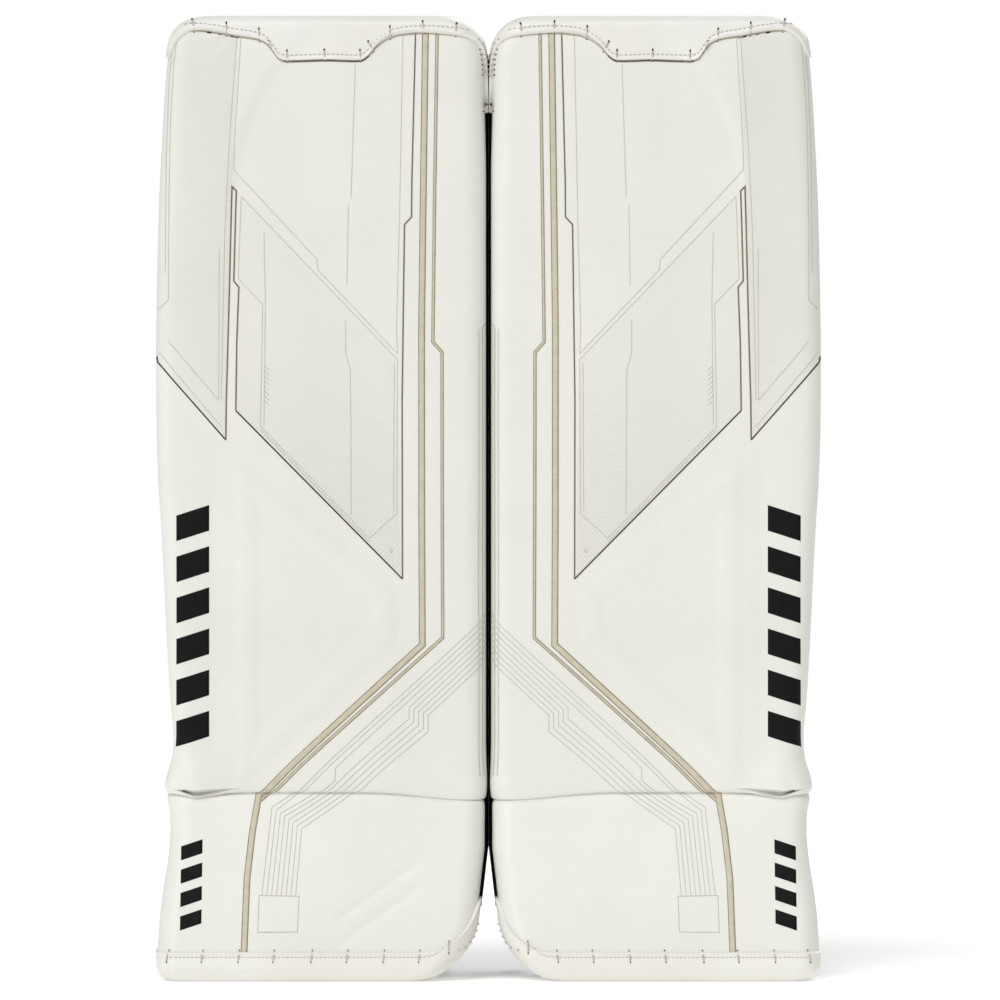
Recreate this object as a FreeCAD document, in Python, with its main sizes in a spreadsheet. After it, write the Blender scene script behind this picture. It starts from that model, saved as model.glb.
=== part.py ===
"""A pair of ice hockey goalie leg pads, as a parametric FreeCAD document in millimetres.

The left pad is built on the +X side and the right pad is its mirror image. Both stand on their toe ends on
the plane Z = 0, face towards -Y, with the middle of the pair at X = 0. Inside the source text, across is the
distance from a pad's inner edge and depth is the distance behind the flat shin face.
"""
import FreeCAD, Part
import math
import os

import Sketcher
from FreeCAD import Placement, Rotation, Vector

PARTS = "parts"

# Driving dimensions, in millimetres and degrees.
DIMENSIONS = {
    # the pair and its place
    "half_gap": 4.0,
    "face_depth": -57.46,
    # outline of the face
    "pad_height": 818.0,
    "toe_width": 276.0,
    "ankle_width": 267.0,
    "calf_width": 278.0,
    "calf_height": 420.0,
    "knee_width": 280.0,
    "crown_width": 270.0,
    "edge_radius": 16.0,
    "toe_corner_radius": 60.0,
    "toe_corner_height": 110.0,
    "toe_corner_across": 13.0,
    "small_corner_radius": 12.0,
    "crown_inner_radius": 34.0,
    "crown_outer_radius": 24.0,
    # thickness of the slab and its layers
    "core_depth": 62.0,
    "heel_depth": 3.0,
    "crown_depth": 50.0,
    "skin": 1.6,
    "skin_clearance": 0.3,
    "front_foam_depth": 24.0,
    "stiffener_skin": 1.5,
    "guard_skin": 1.5,
    "guard_clearance": 0.2,
    "guard_margin": 3.0,
    "guard_end_gap": 12.0,
    # breaks between boot, shin and thigh
    "crease_height": 156.0,
    "boot_kick": 20.0,
    "boot_hinge_height": 150.0,
    "boot_top_tilt": 7.0,
    "shin_bottom_tilt": 6.0,
    "thigh_hinge_height": 645.0,
    "shin_top_tilt": 5.0,
    "thigh_bottom_tilt": 6.0,
    "thigh_lean": 9.0,
    "break_clearance": 0.3,
    # bindings that are laced on at the two ends
    "binding_skin": 2.0,
    "toe_lip": 23.0,
    "toe_lip_across": 24.0,
    "toe_lip_radius": 40.0,
    "crown_lip": 15.0,
    "crown_notch": 37.0,
    "crown_side_lip": 3.0,
    "crown_inner_lip": 80.0,
    "crown_outer_lip": 36.0,
    "crown_lip_radius": 17.0,
    "notch_inner_edge": 104.0,
    "notch_outer_edge": 175.0,
    "notch_slope_run": 14.0,
    "notch_radius": 7.0,
    "lace_radius": 0.9,
    "lace_length": 10.0,
    "lace_standoff": 1.1,
    "notch_lace_inset": 2.0,
    "crown_lace_step": 28.0,
    # wings that wrap the leg
    "wing_skin": 12.0,
    "wing_base_gap": 0.5,
    "wing_edge": 264.0,
    "inner_wing_edge": 8.0,
    "calf_wing_depth": 168.0,
    "calf_wing_bottom": 195.0,
    "calf_wing_top": 455.0,
    "calf_wing_lip": 62.0,
    "knee_wing_depth": 150.0,
    "knee_wing_bottom": 490.0,
    "knee_wing_top": 625.0,
    "knee_wing_lip": 49.0,
    "wing_bend_radius": 45.0,
    "wing_lip_radius": 5.0,
    "wing_corner_radius": 38.0,
    # boot wings and toe bridge
    "inner_boot_wing_bottom": 12.0,
    "outer_boot_wing_bottom": 0.0,
    "boot_wing_heel_radius": 8.0,
    "boot_wing_inner_edge": 22.0,
    "boot_wing_outer_edge": 240.0,
    "boot_wing_toe_depth": 7.0,
    "boot_wing_top_depth": 57.0,
    "boot_wing_depth": 112.0,
    "boot_wing_height": 132.0,
    "boot_wing_corner_radius": 38.0,
    "bridge_depth": 32.0,
    "bridge_skin": 4.0,
    "bridge_bottom": 8.0,
    "bridge_height": 30.0,
    "eyelet_bore_radius": 4.0,
    "eyelet_body_radius": 5.0,
    "eyelet_flange_radius": 8.0,
    "eyelet_flange_skin": 1.0,
    "eyelet_clearance": 0.05,
    "eyelet_spacing": 44.0,
    # padding behind the slab
    "cradle_inner_edge": 60.0,
    "cradle_outer_edge": 215.0,
    "cradle_skin": 11.5,
    "cradle_bottom": 170.0,
    "cradle_top": 470.0,
    "knee_cradle_inner_edge": 66.0,
    "knee_cradle_outer_edge": 235.0,
    "knee_cradle_skin": 17.5,
    "knee_cradle_bottom": 480.0,
    "knee_cradle_top": 632.0,
    "padding_radius": 9.0,
    "stack_inner_edge": 9.0,
    "stack_outer_edge": 58.0,
    "stack_depth": 140.0,
    "stack_bottom": 495.0,
    "stack_top": 625.0,
    "stack_layer_gap": 0.3,
    "stack_radius": 14.0,
    "landing_cap_skin": 5.0,
    "landing_cap_margin": 2.0,
    # straps
    "strap_skin": 3.0,
    "strap_clearance": 1.5,
    "strap_root": 236.0,
    "strap_tip": 24.0,
    "calf_strap_bottom": 300.0,
    "calf_strap_width": 50.0,
    "knee_strap_bottom": 540.0,
    "knee_strap_width": 38.0,
    "boot_strap_bottom": 80.0,
    "boot_strap_width": 30.0,
    "boot_strap_root": 248.0,
    "tab_length": 28.0,
    "tab_skin": 1.5,
    "tab_overhang": 6.0,
    "tab_margin": 1.0,
}
STACK_LAYERS = 3
TOE_LACES = 8
TOE_LACE_START = 0.75  # along the lip's rounded rise, as a share of its radius
RISING_LACE = 0.8  # how far the last lace is along and up, as a share of the lace step and length
INNER_LACE_START = 0.35  # from the notch to the first shoulder lace, as a share of their step
OUTER_LACE_START = 0.25
FAR = 400.0  # past any face of the object, for tools that cut right through
PAST_CORNER = 6.0  # how far a corner cut goes on past the rounding
OVERRUN = 5.0  # how far a hollowing tool runs past the open ends
BEYOND = 30.0  # how far a cutting outline runs past the faces that it cuts


class Size:
    """A number together with the spreadsheet expression that gives it."""

    def __init__(self, text, number):
        self.text = text
        self.number = number

    def __add__(self, other):
        other = size_of(other)
        return Size(f"({self.text} + {other.text})", self.number + other.number)

    def __sub__(self, other):
        other = size_of(other)
        return Size(f"({self.text} - {other.text})", self.number - other.number)

    def __mul__(self, other):
        other = size_of(other)
        return Size(f"({self.text} * {other.text})", self.number * other.number)

    def __truediv__(self, other):
        other = size_of(other)
        return Size(f"({self.text} / {other.text})", self.number / other.number)

    def __radd__(self, other):
        return size_of(other) + self

    def __rsub__(self, other):
        return size_of(other) - self

    def __rmul__(self, other):
        return size_of(other) * self

    def __neg__(self):
        return Size(f"(0 - {self.text})", -self.number)


def size_of(value):
    return value if isinstance(value, Size) else Size(repr(float(value)), float(value))


def tangent(angle):
    return Size(f"tan({angle.text})", math.tan(math.radians(angle.number)))


def cosine(angle):
    return Size(f"cos({angle.text})", math.cos(math.radians(angle.number)))


def make_sheet(doc):
    """Writes the driving dimensions into a spreadsheet and returns them as sizes."""
    sheet = doc.addObject("Spreadsheet::Sheet", "dims")
    sizes = {}
    for row, (alias, number) in enumerate(DIMENSIONS.items(), 1):
        sheet.set(f"A{row}", alias)
        sheet.set(f"B{row}", str(number))
        sheet.setAlias(f"B{row}", alias)
        sizes[alias] = Size(f"dims.{alias}", number)
    doc.recompute()
    return sizes


def bind(thing, path, size):
    thing.setExpression(path, size_of(size).text)


# ---------------------------------------------------------------- sketches and features


def origin_plane(body, role):
    return next(f for f in body.Origin.OriginFeatures if f.Role == role)


def add_sketch(body, name, role, depth=0.0, height=0.0, tilt=0.0):
    """A sketch on one of the body's own origin planes. An XY sketch may be lifted, and tilted about X."""
    sketch = body.newObject("Sketcher::SketchObject", name)
    sketch.AttachmentSupport = (origin_plane(body, role), "")
    sketch.MapMode = "FlatFace"
    if role == "XY_Plane":
        depth, height, tilt = size_of(depth), size_of(height), size_of(tilt)
        turn = Rotation(Vector(1, 0, 0), tilt.number)
        sketch.AttachmentOffset = Placement(Vector(0, depth.number, height.number), turn)
        bind(sketch, "AttachmentOffset.Base.y", depth)
        bind(sketch, "AttachmentOffset.Base.z", height)
        if tilt.number:
            bind(sketch, "AttachmentOffset.Rotation.Angle", tilt)
    return sketch


def pin_point(sketch, index, corner):
    """Holds the start of one element at a corner, by bound distances from the sketch's origin."""
    for kind, size in (("DistanceX", corner[0]), ("DistanceY", corner[1])):
        size = size_of(size)
        at = sketch.addConstraint(Sketcher.Constraint(kind, -1, 1, index, 1, size.number))
        sketch.setExpression(f"Constraints[{at}]", size.text)


def rounding(before, corner, after, radius):
    """Where a corner's arc begins and ends, its centre, and whether it turns to the left."""
    into = (corner - before).normalize()
    out = (after - corner).normalize()
    turn = math.atan2(into.x * out.y - into.y * out.x, into.x * out.x + into.y * out.y)
    reach = radius * math.tan(abs(turn) / 2)
    side = math.copysign(1.0, turn)
    start = corner - into * reach
    centre = start + Vector(-into.y, into.x, 0) * (radius * side)
    return start, corner + out * reach, centre, turn > 0


def draw_outline(sketch, corners):
    """Draws one closed outline, fully constrained.

    A corner is (x, y), or (x, y, radius) if it is rounded.
    """
    count = len(corners)
    points = [Vector(size_of(c[0]).number, size_of(c[1]).number, 0) for c in corners]
    arcs = {}
    for i, corner in enumerate(corners):
        if len(corner) == 3:
            radius = size_of(corner[2]).number
            arcs[i] = rounding(points[i - 1], points[i], points[(i + 1) % count], radius)
    lines = []
    for i in range(count):
        j = (i + 1) % count
        start = arcs[i][1] if i in arcs else points[i]
        end = arcs[j][0] if j in arcs else points[j]
        lines.append(sketch.addGeometry(Part.LineSegment(start, end), False))
    for i, corner in enumerate(corners):
        before, after = lines[i - 1], lines[i]
        if i in arcs:
            round_corner(sketch, corner, arcs[i], before, after)
        else:
            sketch.addConstraint(Sketcher.Constraint("Coincident", before, 2, after, 1))
            pin_point(sketch, after, corner)


def round_corner(sketch, corner, arc_facts, before, after):
    """Adds a corner's arc between two lines, and a construction point where the lines would meet."""
    start, end, centre, leftward = arc_facts
    first, last = (start, end) if leftward else (end, start)
    from_angle = math.atan2(first.y - centre.y, first.x - centre.x)
    to_angle = math.atan2(last.y - centre.y, last.x - centre.x)
    radius = size_of(corner[2])
    circle = Part.Circle(centre, Vector(0, 0, 1), radius.number)
    arc = sketch.addGeometry(Part.ArcOfCircle(circle, from_angle, to_angle), False)
    entry, leave = (1, 2) if leftward else (2, 1)
    sketch.addConstraint(Sketcher.Constraint("Tangent", before, 2, arc, entry))
    sketch.addConstraint(Sketcher.Constraint("Tangent", arc, leave, after, 1))
    at = sketch.addConstraint(Sketcher.Constraint("Radius", arc, radius.number))
    sketch.setExpression(f"Constraints[{at}]", radius.text)
    meet = Vector(size_of(corner[0]).number, size_of(corner[1]).number, 0)
    point = sketch.addGeometry(Part.Point(meet), True)
    for line in (before, after):
        sketch.addConstraint(Sketcher.Constraint("PointOnObject", point, 1, line))
    pin_point(sketch, point, corner)


def new_body(doc, label):
    body = doc.addObject("PartDesign::Body", label)
    body.Label = label
    return body


def loft(body, kind, name, sketches):
    """An AdditiveLoft or SubtractiveLoft through sketches, with straight sides between them."""
    feature = body.newObject(f"PartDesign::{kind}", name)
    feature.Profile = sketches[0]
    feature.Sections = sketches[1:]
    feature.Ruled = True
    body.Tip = feature
    return feature


def pad_up(body, corners, bottom, height):
    """A prism that stands on the height bottom, drawn in plan."""
    sketch = add_sketch(body, "plan", "XY_Plane", height=bottom)
    draw_outline(sketch, corners)
    feature = body.newObject("PartDesign::Pad", "plan_pad")
    feature.Profile = sketch
    feature.Length = size_of(height).number
    bind(feature, "Length", height)
    return feature


def cut_through(body, role, corners, name):
    """Cuts an outline on an origin plane through the whole body, both ways."""
    sketch = add_sketch(body, name, role)
    draw_outline(sketch, corners)
    feature = body.newObject("PartDesign::Pocket", name + "_pocket")
    feature.Profile = sketch
    feature.SideType = "Symmetric"
    feature.Type = "Length"
    feature.Length = 4 * FAR
    return feature


def corner_waste(corner_x, corner_y, radius, toward_x, toward_y):
    """The outline outside a rounded corner. toward_x and toward_y point out of the piece, as +1 or -1."""
    reach = radius + PAST_CORNER
    inner_x = corner_x - toward_x * reach
    inner_y = corner_y - toward_y * reach
    outer_x = corner_x + toward_x * BEYOND
    outer_y = corner_y + toward_y * BEYOND
    return [
        (outer_x, inner_y),
        (corner_x, inner_y),
        (corner_x, corner_y, radius),
        (inner_x, corner_y),
        (inner_x, outer_y),
        (outer_x, outer_y),
    ]


# ---------------------------------------------------------------- the slab: boot, shin and thigh


class Station:
    """One cross-section of the slab: where its plane is, and the section's front, back and width there."""

    def __init__(self, depth, height, tilt, front, back, width):
        self.depth = size_of(depth)
        self.height = size_of(height)
        self.tilt = size_of(tilt)
        self.front = size_of(front)
        self.back = size_of(back)
        self.width = size_of(width)


def boot_front(d, height):
    """Depth of the boot's sloping face at a height."""
    return -(d["crease_height"] - height) * tangent(d["boot_kick"])


def boot_back(d, height):
    return d["heel_depth"] + (d["core_depth"] - d["heel_depth"]) * height / d["boot_hinge_height"]


def boot_station(d, height):
    height = size_of(height)
    share = height / d["boot_hinge_height"]
    width = d["toe_width"] + (d["ankle_width"] - d["toe_width"]) * share
    return Station(0, height, 0, boot_front(d, height), boot_back(d, height), width)


def boot_top_station(d):
    """The boot's top plane runs through the boot hinge and drops towards the face."""
    slope, kick = tangent(d["boot_top_tilt"]), tangent(d["boot_kick"])
    rise = d["crease_height"] - d["boot_hinge_height"] + d["core_depth"] * slope
    face = -rise * kick / (1 - slope * kick)
    front = (face - d["core_depth"]) / cosine(d["boot_top_tilt"])
    hinge = d["boot_hinge_height"]
    return Station(d["core_depth"], hinge, d["boot_top_tilt"], front, 0, d["ankle_width"])


def shin_stations(d):
    lift = d["boot_hinge_height"] + d["break_clearance"]
    tilt = d["shin_bottom_tilt"]
    depth = d["core_depth"]
    top_tilt = d["shin_top_tilt"]
    return [
        Station(depth, lift, -tilt, -depth / cosine(tilt), 0, d["ankle_width"]),
        Station(0, d["calf_height"], 0, 0, depth, d["calf_width"]),
        Station(0, d["thigh_hinge_height"], -top_tilt, 0, depth / cosine(top_tilt), d["knee_width"]),
    ]


def thigh_bottom(d):
    return d["thigh_hinge_height"] + d["break_clearance"]


def thigh_top(d):
    """Height of the thigh's foam and skin, which the laced cap covers."""
    return d["pad_height"] - d["binding_skin"] - d["skin_clearance"]


def thigh_station(d, height):
    """A level section of the thigh, which leans back and narrows towards the crown."""
    height = size_of(height)
    rise = height - thigh_bottom(d)
    share = rise / (thigh_top(d) - thigh_bottom(d))
    front = rise * tangent(d["thigh_lean"])
    crown_back = (thigh_top(d) - thigh_bottom(d)) * tangent(d["thigh_lean"]) + d["crown_depth"]
    back = d["core_depth"] + (crown_back - d["core_depth"]) * share
    width = d["knee_width"] + (d["crown_width"] - d["knee_width"]) * share
    return Station(0, height, 0, front, back, width)


def thigh_stations(d):
    tilt = d["thigh_bottom_tilt"]
    back = d["core_depth"] / cosine(tilt)
    return [
        Station(0, thigh_bottom(d), tilt, 0, back, d["knee_width"]),
        thigh_station(d, thigh_top(d)),
    ]


def section(body, name, station, inset, back_inset=0.0, radius=None, front=None, back=None):
    """Draws a station's section, shrunk by inset at its front and sides, with its front corners rounded."""
    sketch = add_sketch(body, name, "XY_Plane", station.depth, station.height, station.tilt)
    near = (station.front if front is None else size_of(front)) + inset
    far = (station.back if back is None else size_of(back)) - back_inset
    left = size_of(inset)
    right = station.width - inset
    if radius is None:
        fronts = [(left, near), (right, near)]
    else:
        fronts = [(left, near, radius), (right, near, radius)]
    draw_outline(sketch, fronts + [(right, far), (left, far)])
    return sketch


def slab(body, kind, name, stations, inset, radius, back_inset=0.0):
    sketches = [
        section(body, f"{name}_{i}", station, inset, back_inset, radius)
        for i, station in enumerate(stations)
    ]
    return loft(body, kind, name, sketches)


def in_layer(d, station, front_depth, back_depth):
    """Where two planes of constant depth cross a station's plane."""
    slope = cosine(station.tilt)
    return (front_depth - station.depth) / slope, (back_depth - station.depth) / slope


def toe_corner_waste(d, inset, floor):
    """Outside the large rounding at the inner end of the toe."""
    shift = size_of(inset)
    flat = d["toe_corner_across"] + d["toe_corner_radius"]
    return [
        (-BEYOND, floor - BEYOND),
        (-BEYOND, d["toe_corner_height"] + shift),
        (shift, d["toe_corner_height"] + shift),
        (d["toe_corner_across"] + shift, floor, d["toe_corner_radius"] - shift),
        (flat, floor),
        (flat, floor - BEYOND),
    ]


def round_toe(d, body, inset, floor):
    """Rounds the toe's two lower corners, as the face shows them."""
    floor = size_of(floor)
    cut_through(body, "XZ_Plane", toe_corner_waste(d, inset, floor), "toe_inner_corner")
    radius = d["small_corner_radius"] - inset
    waste = corner_waste(d["toe_width"] - inset, floor, radius, 1, -1)
    cut_through(body, "XZ_Plane", waste, "toe_outer_corner")


def round_crown(d, body, inset, top):
    """Rounds the crown's two upper corners."""
    top = size_of(top)
    inner = corner_waste(size_of(inset), top, d["crown_inner_radius"] - inset, -1, 1)
    cut_through(body, "XZ_Plane", inner, "crown_inner_corner")
    edge = d["crown_width"] - inset
    outer = corner_waste(edge, top, d["crown_outer_radius"] - inset, 1, 1)
    cut_through(body, "XZ_Plane", outer, "crown_outer_corner")


def cover_inset(d):
    return d["skin"] + d["skin_clearance"]


def boot_stations(d):
    return [boot_station(d, d["binding_skin"] + d["skin_clearance"]), boot_top_station(d)]


def boot_core(doc, d):
    body = new_body(doc, "boot_core")
    stations = boot_stations(d)
    inset = cover_inset(d)
    slab(body, "AdditiveLoft", "foam", stations, inset, d["edge_radius"] - inset, d["skin_clearance"])
    round_toe(d, body, inset, stations[0].height)
    return body


def open_cover(d, body, stations):
    """A skin over the front and sides, open at the back and at both ends."""
    slab(body, "AdditiveLoft", "outside", stations, 0.0, d["edge_radius"])
    slab(body, "SubtractiveLoft", "inside", stations, d["skin"], d["edge_radius"] - d["skin"], -OVERRUN)


def boot_cover(doc, d):
    body = new_body(doc, "boot_cover")
    stations = boot_stations(d)
    open_cover(d, body, stations)
    round_toe(d, body, 0.0, stations[0].height)
    return body


def shin_layer(doc, d, label, front_depth, back_depth, radius=None):
    """One flat layer of the shin's laminated core, between two depths."""
    body = new_body(doc, label)
    sketches = []
    inset = cover_inset(d)
    for i, station in enumerate(shin_stations(d)):
        near, far = in_layer(d, station, front_depth, back_depth)
        sketches.append(section(body, f"layer_{i}", station, inset, 0.0, radius, near - inset, far))
    loft(body, "AdditiveLoft", "layer", sketches)
    return body


def shin_front_foam(doc, d):
    inset = cover_inset(d)
    radius = d["edge_radius"] - inset
    return shin_layer(doc, d, "shin_front_foam", inset, d["front_foam_depth"], radius)


def shin_stiffener(doc, d):
    front = d["front_foam_depth"]
    return shin_layer(doc, d, "shin_stiffener", front, front + d["stiffener_skin"])


def shin_rear_foam(doc, d):
    front = d["front_foam_depth"] + d["stiffener_skin"]
    return shin_layer(doc, d, "shin_rear_foam", front, d["core_depth"] - d["skin_clearance"])


def shin_cover(doc, d):
    body = new_body(doc, "shin_cover")
    open_cover(d, body, shin_stations(d))
    return body


def thigh_core(doc, d):
    body = new_body(doc, "thigh_core")
    inset = cover_inset(d)
    radius = d["edge_radius"] - inset
    slab(body, "AdditiveLoft", "foam", thigh_stations(d), inset, radius, d["skin_clearance"])
    round_crown(d, body, inset, thigh_top(d))
    return body


def thigh_cover(doc, d):
    body = new_body(doc, "thigh_cover")
    open_cover(d, body, thigh_stations(d))
    round_crown(d, body, 0.0, thigh_top(d))
    return body


def guard(doc, d, label, side_view):
    """A thin wear strip on the pad's inner edge, which slides on the ice.

    side_view is a list of (depth, height) pairs.
    """
    body = new_body(doc, label)
    sketch = add_sketch(body, "side_view", "YZ_Plane")
    draw_outline(sketch, side_view)
    bind(sketch, "AttachmentOffset.Base.z", -(d["guard_skin"] + d["guard_clearance"]))
    feature = body.newObject("PartDesign::Pad", "strip")
    feature.Profile = sketch
    bind(feature, "Length", d["guard_skin"])
    return body


def shin_edge_guard(doc, d):
    front = d["edge_radius"] + d["guard_margin"]
    back = d["core_depth"] - d["guard_margin"]
    bottom = d["crease_height"] + d["guard_end_gap"]
    top = d["thigh_hinge_height"] - d["guard_end_gap"]
    return guard(doc, d, "shin_edge_guard", [(front, bottom), (back, bottom), (back, top), (front, top)])


def thigh_edge_guard(doc, d):
    """Follows the thigh's lean and ends under the cap's inner lip."""
    bottom = d["thigh_hinge_height"] + d["guard_end_gap"]
    top = d["pad_height"] - d["crown_inner_lip"] - d["guard_margin"]
    front = d["edge_radius"] + d["guard_margin"]
    back = d["core_depth"] - d["guard_margin"]
    lean_bottom = (bottom - thigh_bottom(d)) * tangent(d["thigh_lean"])
    lean_top = (top - thigh_bottom(d)) * tangent(d["thigh_lean"])
    side_view = [
        (front + lean_bottom, bottom),
        (back, bottom),
        (back, top),
        (front + lean_top, top),
    ]
    return guard(doc, d, "thigh_edge_guard", side_view)


# ---------------------------------------------------------------- laced bindings


def part_cut(doc, name, base, tool):
    cut = doc.addObject("Part::Cut", name)
    cut.Base = base
    cut.Tool = tool
    return cut


def binding_body(doc, d, name, stations, inset, rounder, floor_or_top):
    """A closed form of the slab's end, grown outwards when inset is negative."""
    body = new_body(doc, name)
    slab(body, "AdditiveLoft", "form", stations, inset, d["edge_radius"] - inset, inset)
    rounder(d, body, inset, floor_or_top)
    return body


def front_waste(doc, name, corners):
    """A prism over an outline in the front view, from far in front of the pads to far behind them."""
    body = new_body(doc, name)
    sketch = add_sketch(body, "front_view", "XZ_Plane")
    draw_outline(sketch, corners)
    feature = body.newObject("PartDesign::Pad", "prism")
    feature.Profile = sketch
    feature.SideType = "Symmetric"
    feature.Length = 2 * FAR
    return body


def toe_binding(doc, d):
    """The tray laced round the bottom of the boot, which is what the pad stands on."""
    grown = -(d["binding_skin"] + d["skin_clearance"])
    void = -d["skin_clearance"]
    outer_stations = [boot_station(d, 0.0), boot_station(d, d["crease_height"] - 20.0)]
    floor = d["binding_skin"]
    inner_stations = [boot_station(d, floor), boot_station(d, d["crease_height"] - 15.0)]
    outer = binding_body(doc, d, "toe_tray_outside", outer_stations, grown, round_toe, 0.0)
    inner = binding_body(doc, d, "toe_tray_inside", inner_stations, void, round_toe, floor)
    lip, side, high = d["toe_lip"], d["toe_corner_height"], d["crease_height"] + BEYOND
    outline = [
        (-BEYOND, side),
        (0.0, side),
        (d["toe_lip_across"], lip, d["toe_lip_radius"]),
        (d["toe_width"] + BEYOND, lip),
        (d["toe_width"] + BEYOND, high),
        (-BEYOND, high),
    ]
    waste = front_waste(doc, "toe_tray_waste", outline)
    tray = part_cut(doc, "toe_tray", outer, inner)
    return part_cut(doc, "toe_binding", tray, waste)


def crown_edge(d):
    """The cap's lower edge in the front view: side lips, two shoulders and the notched middle."""
    top = d["pad_height"]
    shoulder = top - d["crown_lip"]
    notch = top - d["crown_notch"]
    run, lip_radius = d["notch_slope_run"], d["crown_lip_radius"]
    inner = d["crown_side_lip"]
    outer = d["crown_width"] - d["crown_side_lip"]
    return [
        (inner, top - d["crown_inner_lip"]),
        (inner, shoulder, lip_radius),
        (d["notch_inner_edge"] - run, shoulder, lip_radius),
        (d["notch_inner_edge"], notch, d["notch_radius"]),
        (d["notch_outer_edge"], notch, d["notch_radius"]),
        (d["notch_outer_edge"] + run, shoulder, lip_radius),
        (outer, shoulder, lip_radius),
        (outer, top - d["crown_outer_lip"]),
    ]


def top_cap(doc, d):
    """The cap laced over the top of the thigh, with a notched middle."""
    grown = -(d["binding_skin"] + d["skin_clearance"])
    void = -d["skin_clearance"]
    low = d["pad_height"] - d["crown_inner_lip"] - d["guard_margin"]
    ceiling = thigh_top(d) + d["skin_clearance"]
    outer_stations = [thigh_station(d, low), thigh_station(d, d["pad_height"])]
    inner_stations = [thigh_station(d, low - d["guard_margin"]), thigh_station(d, ceiling)]
    outer = binding_body(doc, d, "cap_outside", outer_stations, grown, round_crown, d["pad_height"])
    inner = binding_body(doc, d, "cap_inside", inner_stations, void, round_crown, ceiling)
    edge = crown_edge(d)
    beyond, beneath = d["crown_width"] + BEYOND, low - BEYOND
    outline = [(-BEYOND, edge[0][1])] + edge + [(beyond, edge[-1][1]), (beyond, beneath), (-BEYOND, beneath)]
    waste = front_waste(doc, "cap_waste", outline)
    shell = part_cut(doc, "cap_shell", outer, inner)
    return part_cut(doc, "top_cap", shell, waste)


def lace_ties(doc, d, label, places):
    """Short laces, each a small rod that lies over a binding's edge.

    A place is (across, depth, height, lean).
    """
    rods = []
    for i, (across, depth, height, lean) in enumerate(places, 1):
        rod = doc.addObject("Part::Cylinder", f"{label}_{i}")
        bind(rod, "Radius", d["lace_radius"])
        bind(rod, "Height", d["lace_length"])
        start = Vector(across.number, depth.number, height.number)
        rod.Placement = Placement(start, Rotation(Vector(1, 0, 0), lean.number))
        for path, size in (("x", across), ("y", depth), ("z", height)):
            bind(rod, f"Placement.Base.{path}", size)
        bind(rod, "Placement.Rotation.Angle", lean)
        rods.append(rod)
    group = doc.addObject("Part::Compound", label)
    group.Links = rods
    return group


def binding_standoff(d, lean):
    """How far in front of the skin a lace's middle lies, measured level."""
    return (d["binding_skin"] + d["skin_clearance"] + d["lace_standoff"]) / cosine(lean)


def toe_laces(doc, d):
    """Laces along the toe lip, and one more on the lip's rising inner end."""
    lean = d["boot_kick"]
    last = d["toe_width"] - d["small_corner_radius"]
    first = d["toe_lip_across"] + d["toe_lip_radius"] * TOE_LACE_START
    step = (last - first) / (TOE_LACES - 1)
    edges = [(first + step * i, d["toe_lip"]) for i in range(TOE_LACES)]
    edges.append((first - step * RISING_LACE, d["toe_lip"] + d["lace_length"] * RISING_LACE))
    places = []
    for across, edge in edges:
        height = edge - d["lace_length"] / 2
        depth = boot_front(d, height) - binding_standoff(d, lean)
        places.append((across, depth, height, -lean))
    return lace_ties(doc, d, "toe_laces", places)


def crown_laces(doc, d):
    """Laces over the cap's lower edge: three in the notch, one on each slope and three on each shoulder."""
    lean = d["thigh_lean"]
    top = d["pad_height"]
    shoulder, notch = top - d["crown_lip"], top - d["crown_notch"]
    slope = (shoulder + notch) / 2
    left, right, run = d["notch_inner_edge"], d["notch_outer_edge"], d["notch_slope_run"]
    middle = (left + right) / 2
    inset = d["notch_lace_inset"]
    edges = [(left + inset, notch), (middle, notch), (right - inset, notch)]
    edges += [(left - run / 2, slope), (right + run / 2, slope)]
    for i in range(3):
        edges.append((left - run - d["crown_lace_step"] * (i + INNER_LACE_START), shoulder))
        edges.append((right + run + d["crown_lace_step"] * (i + OUTER_LACE_START), shoulder))
    places = []
    for across, edge in edges:
        height = edge - d["lace_length"] / 2
        depth = (height - thigh_bottom(d)) * tangent(lean) - binding_standoff(d, lean)
        places.append((across, depth, height, -lean))
    return lace_ties(doc, d, "top_cap_laces", places)


# ---------------------------------------------------------------- wings, padding and straps


def wing_plan(d, edge, toward, depth, lip):
    """A wing in plan: straight back from the slab, then bent in behind the leg. toward is +1 or -1 in X."""
    base = d["core_depth"] + d["wing_base_gap"]
    skin, bend = d["wing_skin"], d["wing_bend_radius"]
    inside = edge + toward * skin
    tip = edge + toward * lip
    return [
        (edge, base),
        (edge, depth, bend),
        (tip, depth, d["wing_lip_radius"]),
        (tip, depth - skin, d["wing_lip_radius"]),
        (inside, depth - skin, bend - skin),
        (inside, base),
    ]


def wing(doc, d, label, edge, toward, depth, lip, bottom, top):
    body = new_body(doc, label)
    pad_up(body, wing_plan(d, edge, toward, depth, lip), bottom, top - bottom)
    radius = d["wing_corner_radius"]
    cut_through(body, "YZ_Plane", corner_waste(depth, top, radius, 1, 1), "upper_corner")
    cut_through(body, "YZ_Plane", corner_waste(depth, bottom, radius, 1, -1), "lower_corner")
    return body


def outer_calf_wing(doc, d):
    top, bottom = d["calf_wing_top"], d["calf_wing_bottom"]
    depth, lip = d["calf_wing_depth"], d["calf_wing_lip"]
    return wing(doc, d, "outer_calf_wing", d["wing_edge"], -1, depth, lip, bottom, top)


def inner_calf_wing(doc, d):
    top, bottom = d["calf_wing_top"], d["calf_wing_bottom"]
    depth, lip = d["calf_wing_depth"], d["calf_wing_lip"]
    return wing(doc, d, "inner_calf_wing", d["inner_wing_edge"], 1, depth, lip, bottom, top)


def outer_knee_wing(doc, d):
    top, bottom = d["knee_wing_top"], d["knee_wing_bottom"]
    depth, lip = d["knee_wing_depth"], d["knee_wing_lip"]
    return wing(doc, d, "outer_knee_wing", d["wing_edge"], -1, depth, lip, bottom, top)


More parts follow.
